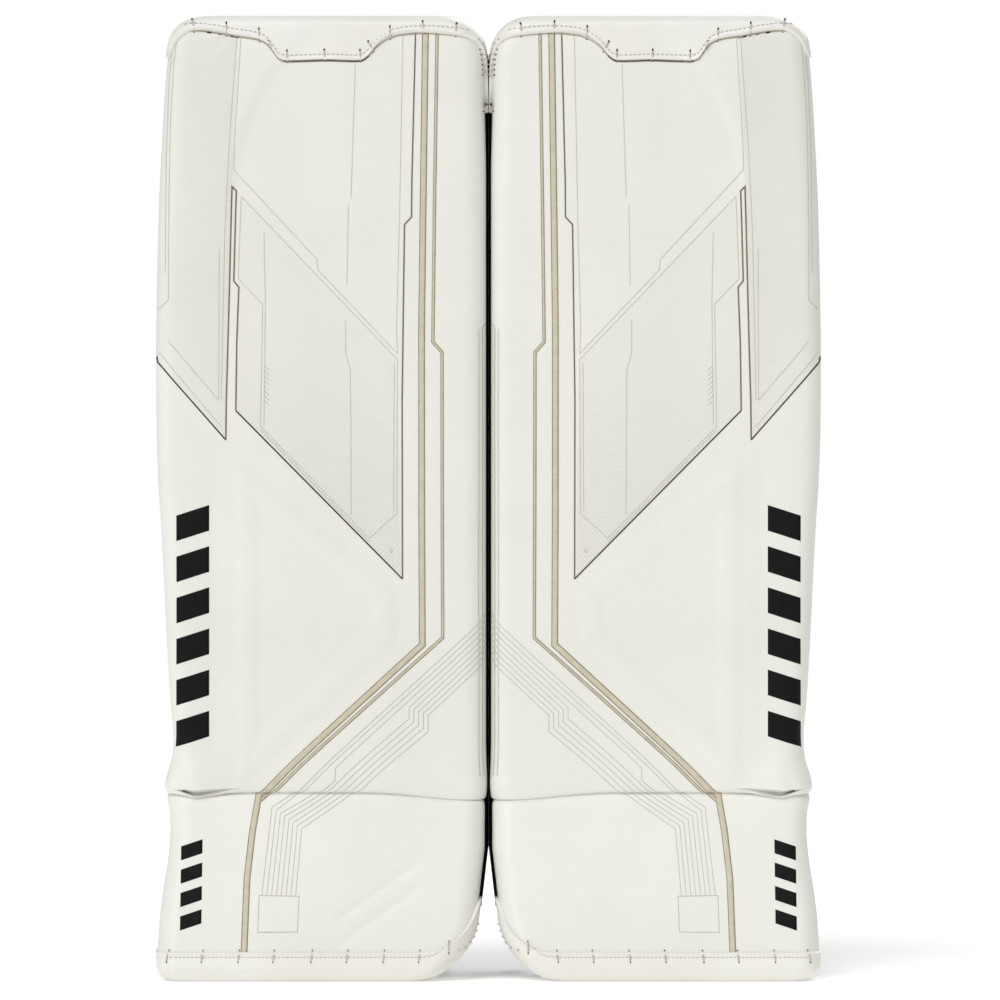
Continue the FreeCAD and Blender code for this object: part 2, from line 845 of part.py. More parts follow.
def boot_wing(doc, d, label, edge, bottom):
    """A padded side wall for the skate. The inner one ends higher, behind the rounded toe corner."""
    body = new_body(doc, label)
    sketch = add_sketch(body, "side_view", "YZ_Plane")
    height, depth = d["boot_wing_height"], d["boot_wing_depth"]
    front_slope = (d["boot_wing_top_depth"] - d["boot_wing_toe_depth"]) / height
    corners = [
        (d["boot_wing_toe_depth"] + front_slope * bottom, bottom),
        (depth, bottom, d["boot_wing_heel_radius"]),
        (depth, height, d["boot_wing_corner_radius"]),
        (d["boot_wing_top_depth"], height),
    ]
    draw_outline(sketch, corners)
    bind(sketch, "AttachmentOffset.Base.z", edge)
    feature = body.newObject("PartDesign::Pad", "side_wall")
    feature.Profile = sketch
    bind(feature, "Length", d["wing_skin"])
    return body


def inner_boot_wing(doc, d):
    return boot_wing(doc, d, "inner_boot_wing", d["boot_wing_inner_edge"], d["inner_boot_wing_bottom"])


def outer_boot_wing(doc, d):
    return boot_wing(doc, d, "outer_boot_wing", d["boot_wing_outer_edge"], d["outer_boot_wing_bottom"])


def eyelet_centres(d):
    """Across, for the two eyelets, midway between the boot wings."""
    middle = (d["boot_wing_inner_edge"] + d["wing_skin"] + d["boot_wing_outer_edge"]) / 2
    half = d["eyelet_spacing"] / 2
    return [middle - half, middle + half]


def toe_bridge(doc, d):
    """The strip across the skate channel that the toe tie is threaded through."""
    body = new_body(doc, "toe_bridge")
    left = d["boot_wing_inner_edge"] + d["wing_skin"]
    right = d["boot_wing_outer_edge"]
    front, back = d["bridge_depth"], d["bridge_depth"] + d["bridge_skin"]
    corners = [(left, front), (right, front), (right, back), (left, back)]
    pad_up(body, corners, d["bridge_bottom"], d["bridge_height"])
    sketch = add_sketch(body, "holes", "XZ_Plane")
    height = d["bridge_bottom"] + d["bridge_height"] / 2
    radius = d["eyelet_body_radius"] + d["eyelet_clearance"]
    for across in eyelet_centres(d):
        centre = Vector(across.number, height.number, 0)
        circle = Part.Circle(centre, Vector(0, 0, 1), radius.number)
        index = sketch.addGeometry(circle, False)
        places = (("DistanceX", across), ("DistanceY", height))
        for kind, size in places:
            at = sketch.addConstraint(Sketcher.Constraint(kind, -1, 1, index, 3, size.number))
            sketch.setExpression(f"Constraints[{at}]", size.text)
        at = sketch.addConstraint(Sketcher.Constraint("Radius", index, radius.number))
        sketch.setExpression(f"Constraints[{at}]", radius.text)
    pocket = body.newObject("PartDesign::Pocket", "eyelet_holes")
    pocket.Profile = sketch
    pocket.SideType = "Symmetric"
    pocket.Length = 2 * FAR
    return body


def eyelet(doc, d, name, across):
    """A rolled metal eyelet, turned about the axis of its own hole."""
    body = new_body(doc, name)
    sketch = add_sketch(body, "half_section", "XY_Plane")
    bore, tube = d["eyelet_bore_radius"], d["eyelet_body_radius"]
    flange, skin = d["eyelet_flange_radius"], d["eyelet_flange_skin"]
    front, back = d["bridge_depth"], d["bridge_depth"] + d["bridge_skin"]
    corners = [
        (bore, front - skin),
        (flange, front - skin),
        (flange, front),
        (tube, front),
        (tube, back),
        (flange, back),
        (flange, back + skin),
        (bore, back + skin),
    ]
    draw_outline(sketch, corners)
    feature = body.newObject("PartDesign::Revolution", "turned")
    feature.Profile = sketch
    feature.ReferenceAxis = (origin_plane(body, "Y_Axis"), [""])
    feature.Angle = 360.0
    bind(body, "Placement.Base.x", across)
    bind(body, "Placement.Base.z", d["bridge_bottom"] + d["bridge_height"] / 2)
    return body


def toe_bridge_eyelets(doc, d):
    group = doc.addObject("Part::Compound", "toe_bridge_eyelets")
    pairs = enumerate(eyelet_centres(d), 1)
    group.Links = [eyelet(doc, d, f"eyelet_{i}", across) for i, across in pairs]
    return group


def padding(doc, d, label, left, right, skin, bottom, top):
    """A flat pad on the slab's back, with its two rear edges rounded."""
    body = new_body(doc, label)
    front = d["core_depth"] + d["wing_base_gap"]
    back = front + skin
    radius = d["padding_radius"]
    corners = [(left, front), (right, front), (right, back, radius), (left, back, radius)]
    pad_up(body, corners, bottom, top - bottom)
    return body


def shin_cradle(doc, d):
    left, right = d["cradle_inner_edge"], d["cradle_outer_edge"]
    bottom, top = d["cradle_bottom"], d["cradle_top"]
    return padding(doc, d, "shin_cradle", left, right, d["cradle_skin"], bottom, top)


def knee_cradle(doc, d):
    left, right = d["knee_cradle_inner_edge"], d["knee_cradle_outer_edge"]
    bottom, top = d["knee_cradle_bottom"], d["knee_cradle_top"]
    return padding(doc, d, "knee_cradle", left, right, d["knee_cradle_skin"], bottom, top)


def knee_stack_layer(doc, d, index):
    """One foam layer of the knee stack, upright like a page of a book."""
    body = new_body(doc, f"knee_stack_layer_{index + 1}")
    gap = d["stack_layer_gap"]
    whole = d["stack_outer_edge"] - d["stack_inner_edge"] - gap * (STACK_LAYERS - 1)
    layer = whole / STACK_LAYERS
    left = d["stack_inner_edge"] + (layer + gap) * index
    front, back = d["core_depth"] + d["wing_base_gap"], d["stack_depth"]
    corners = [(left, front), (left + layer, front), (left + layer, back), (left, back)]
    bottom, top = d["stack_bottom"], d["stack_top"]
    pad_up(body, corners, bottom, top - bottom)
    radius = d["stack_radius"]
    cut_through(body, "YZ_Plane", corner_waste(back, top, radius, 1, 1), "upper_corner")
    cut_through(body, "YZ_Plane", corner_waste(back, bottom, radius, 1, -1), "lower_corner")
    return body


def knee_stack(doc, d):
    group = doc.addObject("Part::Compound", "knee_stack")
    group.Links = [knee_stack_layer(doc, d, index) for index in range(STACK_LAYERS)]
    return group


def knee_landing_cap(doc, d):
    """The firm pad on the stack's inner side, which the knee lands on."""
    body = new_body(doc, "knee_landing_cap")
    right = d["stack_inner_edge"]
    left = right - d["landing_cap_skin"]
    margin = d["landing_cap_margin"]
    front, back = d["core_depth"] + d["wing_base_gap"], d["stack_depth"] - margin
    corners = [(left, front), (right, front), (right, back), (left, back)]
    bottom, top = d["stack_bottom"] + margin, d["stack_top"] - margin
    pad_up(body, corners, bottom, top - bottom)
    radius = d["stack_radius"]
    cut_through(body, "YZ_Plane", corner_waste(back, top, radius, 1, 1), "upper_corner")
    cut_through(body, "YZ_Plane", corner_waste(back, bottom, radius, 1, -1), "lower_corner")
    return body


def strap(doc, d, label, root, depth, bottom, width):
    """A flat webbing strap that crosses behind the leg, from its root to its tip."""
    body = new_body(doc, label)
    front = depth + d["strap_clearance"]
    back = front + d["strap_skin"]
    tip = d["strap_tip"]
    corners = [(tip, front), (root, front), (root, back), (tip, back)]
    pad_up(body, corners, bottom, width)
    return body


def strap_tab(doc, d, label, depth, bottom, width):
    """The rubber pull tab on a strap's free end, a little wider than the strap."""
    body = new_body(doc, label)
    front = depth + d["strap_clearance"] + d["strap_skin"]
    back = front + d["tab_skin"]
    left = d["strap_tip"] - d["tab_overhang"]
    right = left + d["tab_length"]
    corners = [(left, front), (right, front), (right, back), (left, back)]
    margin = d["tab_margin"]
    pad_up(body, corners, bottom - margin, width + 2 * margin)
    return body


def calf_strap(doc, d):
    depth, bottom, width = d["calf_wing_depth"], d["calf_strap_bottom"], d["calf_strap_width"]
    return strap(doc, d, "calf_strap", d["strap_root"], depth, bottom, width)


def calf_strap_tab(doc, d):
    depth, bottom, width = d["calf_wing_depth"], d["calf_strap_bottom"], d["calf_strap_width"]
    return strap_tab(doc, d, "calf_strap_tab", depth, bottom, width)


def knee_strap(doc, d):
    depth, bottom, width = d["knee_wing_depth"], d["knee_strap_bottom"], d["knee_strap_width"]
    return strap(doc, d, "knee_strap", d["strap_root"], depth, bottom, width)


def knee_strap_tab(doc, d):
    depth, bottom, width = d["knee_wing_depth"], d["knee_strap_bottom"], d["knee_strap_width"]
    return strap_tab(doc, d, "knee_strap_tab", depth, bottom, width)


def boot_strap(doc, d):
    depth, bottom, width = d["boot_wing_depth"], d["boot_strap_bottom"], d["boot_strap_width"]
    return strap(doc, d, "boot_strap", d["boot_strap_root"], depth, bottom, width)


# ---------------------------------------------------------------- assembly and export

SUB_PARTS = [
    boot_core,
    boot_cover,
    toe_binding,
    toe_laces,
    inner_boot_wing,
    outer_boot_wing,
    toe_bridge,
    toe_bridge_eyelets,
    boot_strap,
    shin_front_foam,
    shin_stiffener,
    shin_rear_foam,
    shin_cover,
    shin_edge_guard,
    shin_cradle,
    knee_cradle,
    inner_calf_wing,
    outer_calf_wing,
    calf_strap,
    calf_strap_tab,
    knee_stack,
    knee_landing_cap,
    outer_knee_wing,
    knee_strap,
    knee_strap_tab,
    thigh_core,
    thigh_cover,
    thigh_edge_guard,
    top_cap,
    crown_laces,
]


def build_pair(doc, d):
    """Builds the left pad's sub-parts, sets them in place, and mirrors each for the right pad."""
    exported = []
    for make in SUB_PARTS:
        piece = make(doc, d)
        name = piece.Label
        piece.Label = "left_" + name
        bind(piece, "Placement.Base.x", d["half_gap"])
        bind(piece, "Placement.Base.y", d["face_depth"])
        mirrored = doc.addObject("Part::Mirroring", "right_" + name)
        mirrored.Source = piece
        mirrored.Normal = Vector(1, 0, 0)
        exported += [piece, mirrored]
    doc.recompute()
    return exported


def check(doc, exported):
    """Stops if any object failed, or if a sub-part isn't a valid closed shape."""
    for thing in doc.Objects:
        if {"Invalid", "Error"} & set(thing.State):
            raise RuntimeError(f"{thing.Name} failed: {thing.State}")
    for piece in exported:
        shape = piece.Shape
        solids = [] if shape.isNull() else shape.Solids
        if not solids or not shape.isValid() or min(s.Volume for s in solids) <= 0:
            raise RuntimeError(f"{piece.Label} is not a valid solid")


def main():
    doc = FreeCAD.newDocument("goalie_leg_pads")
    dimensions = make_sheet(doc)
    exported = build_pair(doc, dimensions)
    check(doc, exported)
    os.makedirs(PARTS, exist_ok=True)
    box = FreeCAD.BoundBox()
    for piece in exported:
        piece.Shape.exportStep(os.path.join(PARTS, piece.Label + ".step"))
        box.add(piece.Shape.BoundBox)
    print(f"{len(exported)} sub-parts, depth {box.YMin:.2f} to {box.YMax:.2f}, {box}")


main()
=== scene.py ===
import math

import bmesh
import bpy
import numpy as np
from mathutils import Matrix, Vector
from mathutils.bvhtree import BVHTree


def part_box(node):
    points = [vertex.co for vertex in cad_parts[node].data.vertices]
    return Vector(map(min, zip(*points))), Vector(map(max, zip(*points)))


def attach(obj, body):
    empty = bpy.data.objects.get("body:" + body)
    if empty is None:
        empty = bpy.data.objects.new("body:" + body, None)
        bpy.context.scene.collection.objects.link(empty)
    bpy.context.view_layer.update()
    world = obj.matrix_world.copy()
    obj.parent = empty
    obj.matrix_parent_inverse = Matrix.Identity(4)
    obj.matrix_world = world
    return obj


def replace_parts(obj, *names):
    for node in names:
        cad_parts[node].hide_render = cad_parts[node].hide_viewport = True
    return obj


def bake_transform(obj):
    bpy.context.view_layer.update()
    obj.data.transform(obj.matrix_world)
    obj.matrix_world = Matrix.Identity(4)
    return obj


# A pair of goalie leg pads, standing side by side. Every shape below is drawn once, in the pad's own
# millimetres, and placed twice: x runs across from the inner edge, y runs back from the flat shin face,
# and z runs up from the floor. s is the height along the skin. The right pad mirrors the left one.

MM = 0.001

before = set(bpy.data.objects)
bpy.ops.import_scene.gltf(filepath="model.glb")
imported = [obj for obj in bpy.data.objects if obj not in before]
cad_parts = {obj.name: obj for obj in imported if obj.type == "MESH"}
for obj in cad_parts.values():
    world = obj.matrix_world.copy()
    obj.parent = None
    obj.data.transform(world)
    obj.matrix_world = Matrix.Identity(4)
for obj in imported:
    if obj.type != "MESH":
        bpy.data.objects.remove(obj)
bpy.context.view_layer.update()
shin_low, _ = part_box("left_shin_cover")
INNER_X = shin_low.x
FACE_Y = shin_low.y

SIDES = {"left": 1.0, "right": -1.0}
PARTS = ("lower", "upper")

# ---------------------------------------------------------------- the pad's outline, in millimetres

SOLE = 2.3
CROWN = 818.8
CUT = 470.0                 # where the two padded halves meet
CREASE = 156.0              # the fold above the boot
KNEE = 645.3
KICK = math.tan(math.radians(20.0))
LEAN = math.tan(math.radians(9.0))
KNEE_ROUND = 30.0
DEPTH = 62.0
BOOT_TAPER_TOP = 150.0
BOOT_TAPER = 0.4
THIGH_TAPER = 0.087
FRONT_RADIUS = 16.0
BACK_RADIUS = 8.0
TOE_RADIUS = 60.0
TOE_CENTRE = 66.3
TOE_START = 110.0
TOE_SHIFT = 13.0
TOE_TANGENT = 53.0
SOLE_OUTER_RADIUS = 12.0
END_RADIUS = 9.0
CROWN_INNER_RADIUS = 34.0
CROWN_OUTER_RADIUS = 24.0
BINDING = 2.3
INNER_BULGE = 0.8           # how far the inner side swells
GAP_BULGE = 1.1             # and how much more it swells between the cap and the toe


def smooth_curve(points):
    """A curve through the points that never overshoots them, as a function of the first value."""
    xs, ys = np.array(points, float).T
    step = np.diff(xs)
    rise = np.diff(ys) / step
    slope = np.zeros(len(xs))
    slope[0] = rise[0]
    slope[-1] = rise[-1]
    for i in range(1, len(xs) - 1):
        if rise[i - 1] * rise[i] > 0:
            before = 2 * step[i] + step[i - 1]
            after = step[i] + 2 * step[i - 1]
            slope[i] = (before + after) / (before / rise[i - 1] + after / rise[i])

    def value(x):
        x = np.clip(np.asarray(x, float), xs[0], xs[-1])
        i = np.clip(np.searchsorted(xs, x) - 1, 0, len(step) - 1)
        t = (x - xs[i]) / step[i]
        return (
            ys[i] * (1 + 2 * t) * (1 - t) ** 2
            + slope[i] * step[i] * t * (1 - t) ** 2
            + ys[i + 1] * t * t * (3 - 2 * t)
            + slope[i + 1] * step[i] * t * t * (t - 1)
        )

    return value


def ease(value, width):
    """Rises smoothly from 0 to 1 while value goes from -width/2 to width/2."""
    t = np.clip(value / width + 0.5, 0, 1)
    return t * t * (3 - 2 * t)


def bump(value, centre, width):
    """A soft rise of height 1 round the centre."""
    return np.exp(-(((value - centre) / width) ** 2))


def end_inset(height, radius):
    """How far a rounded end has come in at this height below or above it."""
    rest = np.clip(radius - height, 0, radius)
    return radius - np.sqrt(radius**2 - rest**2)


outer_edge = smooth_curve([
    (0, 276.5), (45, 275.6), (72, 273), (100, 269), (123, 267.3), (140, 268.2), (150, 270.2),
    (163, 270.8), (174, 268.6), (186, 265.8), (196, 265.2), (237, 268), (279, 270.4), (329, 272.8),
    (377, 275.2), (425, 278.2), (472, 279.6), (535, 279.9), (607, 278.8), (666, 277.4),
    (707, 275.7), (755, 273.3), (790, 270.5), (818, 268),
])


def inner_edge(s):
    """The inner edge is straight, and the toe corner runs in on a big radius."""
    line = TOE_SHIFT * np.clip(TOE_START - s, 0, None) / TOE_START
    drop = np.clip(TOE_RADIUS - s, 0, TOE_RADIUS)
    arc = TOE_CENTRE - np.sqrt(TOE_RADIUS**2 - drop**2)
    return np.where(s < TOE_TANGENT, arc, line) + end_inset(CROWN - s, CROWN_INNER_RADIUS)


def outer_x(s):
    taken = end_inset(CROWN - s, CROWN_OUTER_RADIUS) + end_inset(s - SOLE, SOLE_OUTER_RADIUS)
    return outer_edge(s) - taken


def end_round(s):
    return end_inset(CROWN - s, END_RADIUS) + end_inset(s - SOLE, END_RADIUS)


def front_y(s):
    kick = -np.clip(CREASE - s, 0, None) * KICK
    past = s - KNEE
    lean = LEAN * 0.5 * (past + np.sqrt(past**2 + KNEE_ROUND**2))
    return kick + lean + end_round(s)


def back_y(s):
    boot = np.clip(BOOT_TAPER_TOP - s, 0, None) * BOOT_TAPER
    thigh = np.clip(s - KNEE, 0, None) * THIGH_TAPER
    return DEPTH - boot + thigh - end_round(s)


# ---------------------------------------------------------------- soft relief on the front

# The fold above the boot: going up the skin, how far it moves up and how far it stands out, and
# across the pad, how strong it is.
fold_rise = smooth_curve([
    (138, 0), (150, 0.3), (152.5, 1.0), (154.5, 1.6), (156, 1.2), (157.5, -1.2), (158.8, -3.6),
    (160, -5.0), (162, -5.6), (165, -5.0), (170, -3.5), (178, -1.5), (190, -0.3), (205, 0),
])
fold_out = smooth_curve([
    (138, 0), (146, 0.3), (150, 0.3), (152.5, -0.3), (154.5, -2.2), (156, -4.2), (157.5, -3.2),
    (158.8, -0.6), (160, 1.6), (162, 3.2), (165, 4.2), (170, 4.6), (178, 3.4), (190, 1.2), (205, 0),
])
fold_size = smooth_curve([
    (0, 0.7), (20, 0.5), (190, 0.42), (214, 0.6), (232, 1.15), (246, 1.5), (256, 1.1), (280, 0.75),
])


def crease_drop(x):
    """How far the fold dips towards the inner edge."""
    return 6.0 * ease(58 - x, 90)


FRAME_PANEL = [(209, 436), (77, 330), (77, 287), (200, 172), (209, 172)]
PANEL_RISE = 1.2
PANEL_HOLLOW = 0.9
PANEL_BORDER = 15
ARCH_MIDDLE = (120, 640)
ARCH_REACH = (96.5, 172)
ARCH_STEP = 1.7
CHANNEL_X = 229
CHANNEL_DEPTH = 0.9
BOOT_GROOVES = ((47, 83), (60, 95))
GROOVE_DEPTH = 0.5
GROOVE_WIDTH = 3.2
CROWN_RISE = 1.6
HALF_WIDTH = 138


def depth_inside(corners, x, s):
    """How far a point is inside a convex outline, in millimetres; negative outside."""
    nearest = np.full(np.shape(x), 1e9)
    centre = np.mean(corners, axis=0)
    for i, a in enumerate(corners):
        b = corners[(i + 1) % len(corners)]
        length = math.dist(a, b)
        normal = ((a[1] - b[1]) / length, (b[0] - a[0]) / length)
        inward = 1.0 if (centre[0] - a[0]) * normal[0] + (centre[1] - a[1]) * normal[1] > 0 else -1.0
        nearest = np.minimum(nearest, inward * ((x - a[0]) * normal[0] + (s - a[1]) * normal[1]))
    return nearest


def relief(x, s):
    """How far the front stands out: the moulded panels, the knee arch, crown and soft unevenness."""
    inside = depth_inside(FRAME_PANEL, x, s)
    panel = PANEL_RISE * ease(inside, 11) - PANEL_HOLLOW * ease(inside - PANEL_BORDER, 10)
    arch = np.hypot((x - ARCH_MIDDLE[0]) / ARCH_REACH[0], (s - ARCH_MIDDLE[1]) / ARCH_REACH[1])
    arch = -ARCH_STEP * ease((1 - arch) * 110, 13) * ease(s - 655, 60) * ease(x - 140, 40)
    channel = -CHANNEL_DEPTH * bump(x, CHANNEL_X, 9) * ease(s - 185, 40) * ease(448 - s, 50)
    # two slanted grooves on the boot, each measured square to its own line
    grooves = sum(bump((x - at) * 0.57 + (s - low) * 0.82, 0, GROOVE_WIDTH) for at, low in BOOT_GROOVES)
    grooves = -GROOVE_DEPTH * grooves * ease(x - 55, 20) * ease(125 - x, 30)
    crown = CROWN_RISE * (1 - ((x - HALF_WIDTH) / HALF_WIDTH) ** 2)
    # two short slanted creases below the cap's outer corner, then low waves all over
    creases = bump(s + 0.9 * x, 992, 4) + bump(s + 0.75 * x, 975, 4)
    creases = 0.55 * creases * bump(x, 222, 13) * bump(s, 792, 16)
    waves = 0.22 * np.sin(x / 23 + s / 61) + 0.2 * np.sin(s / 37 - x / 49 + 1.3)
    outer_roll = -0.8 * ease(x - 262, 22) * ease(s - 200, 60)
    return panel + arch + channel + grooves + crown + creases + waves + outer_roll


# ---------------------------------------------------------------- the skin as a surface

class Column:
    """One vertical line of the skin: where it is round the section and which way it faces."""

    def __init__(self, across, back, turn, radius):
        """turn is where it faces, in degrees: 0 to the front and 90 to the outer side."""
        self.across = across
        self.back = back
        self.nx = math.sin(math.radians(turn))
        self.ny = -math.cos(math.radians(turn))
        self.radius = radius


def skin_columns():
    """Round the section: each run goes from one (across, back, turn) to another in so many steps."""
    inner_side, face, outer_side, rear = (-90, 0, 90, 180)
    runs = [
        (10, (0, 1, inner_side), (0, 0, inner_side), FRONT_RADIUS),
        (9, (0, 0, inner_side), (0, 0, face), FRONT_RADIUS),
        (104, (0, 0, face), (1, 0, face), FRONT_RADIUS),
        (9, (1, 0, face), (1, 0, outer_side), FRONT_RADIUS),
        (10, (1, 0, outer_side), (1, 1, outer_side), FRONT_RADIUS),
        (4, (1, 1, outer_side), (1, 1, rear), BACK_RADIUS),
        (26, (1, 1, rear), (0, 1, rear), BACK_RADIUS),
        (4, (0, 1, rear), (0, 1, inner_side + 360), BACK_RADIUS),
    ]
    columns = []
    for steps, start, end, radius in runs:
        for i in range(steps):
            across, back, turn = (a + (b - a) * i / steps for a, b in zip(start, end))
            columns.append(Column(across, back, turn, radius))
    return columns


COLUMNS = skin_columns()


def skin_point(x, y, nx, ny, s, lift):
    """Moves a bare section point out by the fold, the relief and the lift."""
    facing = np.clip(-ny, 0, 1)
    size = fold_size(np.clip(x, 0, 280)) * (0.45 + 0.55 * facing)
    along = s + crease_drop(x)
    bulge = INNER_BULGE + GAP_BULGE * ease(715 - s, 60) * ease(s - 165, 50)
    out = lift + fold_out(along) * size + relief(x, s) * facing**2 + bulge * np.clip(-nx, 0, 1) ** 2
    up = np.clip(1 - (CROWN - s) / CROWN_INNER_RADIUS, 0, 1)
    down = np.clip(1 - (s - SOLE) / SOLE_OUTER_RADIUS, 0, 1)
    z = s + fold_rise(along) * size + lift * (up - down)
    return np.stack([x + nx * out, y + ny * out, z], axis=-1)


def column_points(column, s, lift=0.0):
    """Points up one column."""
    s = np.asarray(s, float)
    low_x = inner_edge(s) + column.radius
    high_x = outer_x(s) - column.radius
    x = low_x + (high_x - low_x) * column.across + column.radius * column.nx
    low_y = front_y(s) + FRONT_RADIUS
    high_y = back_y(s) - BACK_RADIUS
    y = low_y + (high_y - low_y) * column.back + column.radius * column.ny
    return skin_point(x, y, column.nx, column.ny, s, lift)


def face_point(x, s, lift=0.0):
    """Points on the front face, its rounded edges included."""
    s = np.asarray(s, float)
    x = np.clip(x, inner_edge(s) + 0.02, outer_x(s) - 0.02)
    from_inner = x - inner_edge(s)
    from_outer = outer_x(s) - x
    nx = np.where(from_inner < FRONT_RADIUS, -(1 - from_inner / FRONT_RADIUS), 0.0)
    nx = np.where(from_outer < FRONT_RADIUS, 1 - from_outer / FRONT_RADIUS, nx)
    ny = -np.sqrt(1 - nx**2)
    y = front_y(s) + FRONT_RADIUS * (1 + ny)
    return skin_point(x, y, nx, ny, s, lift)


# ---------------------------------------------------------------- mesh helpers

def grid_faces(rows, columns, wrap):
    """Faces of a grid of points, rows of columns, closed round when wrap is set."""
    faces = []
    last = columns if wrap else columns - 1
    for r in range(rows - 1):
        for c in range(last):
            d = (c + 1) % columns
            faces.append((r * columns + c, r * columns + d, (r + 1) * columns + d, (r + 1) * columns + c))
    return faces


class Shape:
    """Points and faces of a piece, gathered from several parts. rings are flat ends with a sharp edge."""

    def __init__(self):
        self.points = []
        self.faces = []
        self.slots = []
        self.rings = []

    def add(self, points, faces, slot=0):
        base = len(self.points)
        self.points.extend(np.asarray(points, float).reshape(-1, 3).tolist())
        self.faces.extend([tuple(base + i for i in f) for f in faces])
        self.slots.extend([slot] * len(faces))
        return base

    def loft(self, rows, slot=0, sharp=False):
        """A solid form through closed rings of points, with flat ends."""
        count = len(rows)
        size = len(rows[0])
        faces = grid_faces(count, size, True)
        faces.append(tuple(reversed(range(size))))
        faces.append(tuple(range((count - 1) * size, count * size)))
        base = self.add(rows, faces, slot)
        if sharp:
            end = base + (count - 1) * size
            self.rings += [list(range(base, base + size)), list(range(end, end + size))]

    def tube(self, path, radius, sides=8, slot=0, squash=1.0, turns=0.0):
        """A round cord along the path. turns twists its oval section, as a laid cord's is."""
        path = np.array(path, float)
        count = len(path)
        tangent = np.gradient(path, axis=0)
        tangent /= np.linalg.norm(tangent, axis=1)[:, None]
        normal = np.cross(tangent[0], (0.3, 0.2, 0.93))
        radius = np.broadcast_to(radius, count)
        rings = []
        for i in range(count):
            normal = normal - tangent[i] * (normal @ tangent[i])
            normal /= np.linalg.norm(normal)
            binormal = np.cross(tangent[i], normal)
            twist = 2 * math.pi * turns * i / max(count - 1, 1)
            ring = []
            for k in range(sides):
                a = 2 * math.pi * k / sides
                u = math.cos(a)
                v = squash * math.sin(a)
                u, v = u * math.cos(twist) - v * math.sin(twist), u * math.sin(twist) + v * math.cos(twist)
                ring.append(path[i] + radius[i] * (u * normal + v * binormal))
            rings.append(ring)
        self.loft(rings, slot)


def add_rest(mesh, points):
    """Keeps each point's place at rest, which the materials' patterns follow."""
    rest = mesh.attributes.new("rest", "FLOAT_VECTOR", "POINT")
    rest.data.foreach_set("vector", (np.array(points, float) * MM).astype(np.float32).ravel())


def build(name, side, shape, materials):
    """Makes the Blender object of a shape."""
    mesh = bpy.data.meshes.new(name)
    world = np.array(shape.points, float) * MM
    world[:, 0] = SIDES[side] * (world[:, 0] + INNER_X)
    world[:, 1] += FACE_Y
    faces = shape.faces
    if side == "right":
        faces = [tuple(reversed(f)) for f in faces]
    mesh.from_pydata(world.tolist(), [], faces)
    for m in materials:
        mesh.materials.append(m)
    mesh.polygons.foreach_set("material_index", shape.slots)
    mesh.polygons.foreach_set("use_smooth", [True] * len(faces))
    add_rest(mesh, shape.points)
    ringed = set()
    for ring in shape.rings:
        ringed.update(frozenset(pair) for pair in zip(ring, ring[1:] + ring[:1]))
    if ringed:
        for edge in mesh.edges:
            edge.use_edge_sharp = frozenset(edge.vertices) in ringed
    mesh.validate()
    piece = bpy.data.objects.new(name, mesh)
    bpy.context.scene.collection.objects.link(piece)
    return piece


def fix_normals(piece):
    """Turns every face outward."""
    bm = bmesh.new()
    bm.from_mesh(piece.data)
    bmesh.ops.recalc_face_normals(bm, faces=bm.faces)
    bm.to_mesh(piece.data)
    bm.free()


def place(piece, side, body, slot, *nodes):
    """Puts a piece on its body and hides the CAD nodes it stands for. slot is not used."""
    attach(piece, f"{side}_{body}")
    if nodes:
        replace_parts(piece, *[f"{side}_{node}" for node in nodes])


def bend(piece):
    """Bakes the placement of a piece on the skin into its points."""
    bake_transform(piece)


# ---------------------------------------------------------------- materials

def linear(rgb):
    """A screen colour, 0 to 255, as the linear colour that shaders take."""
    out = []
    for v in rgb:
        v /= 255
        out.append(v / 12.92 if v <= 0.04045 else ((v + 0.055) / 1.055) ** 2.4)
    return (*out, 1.0)


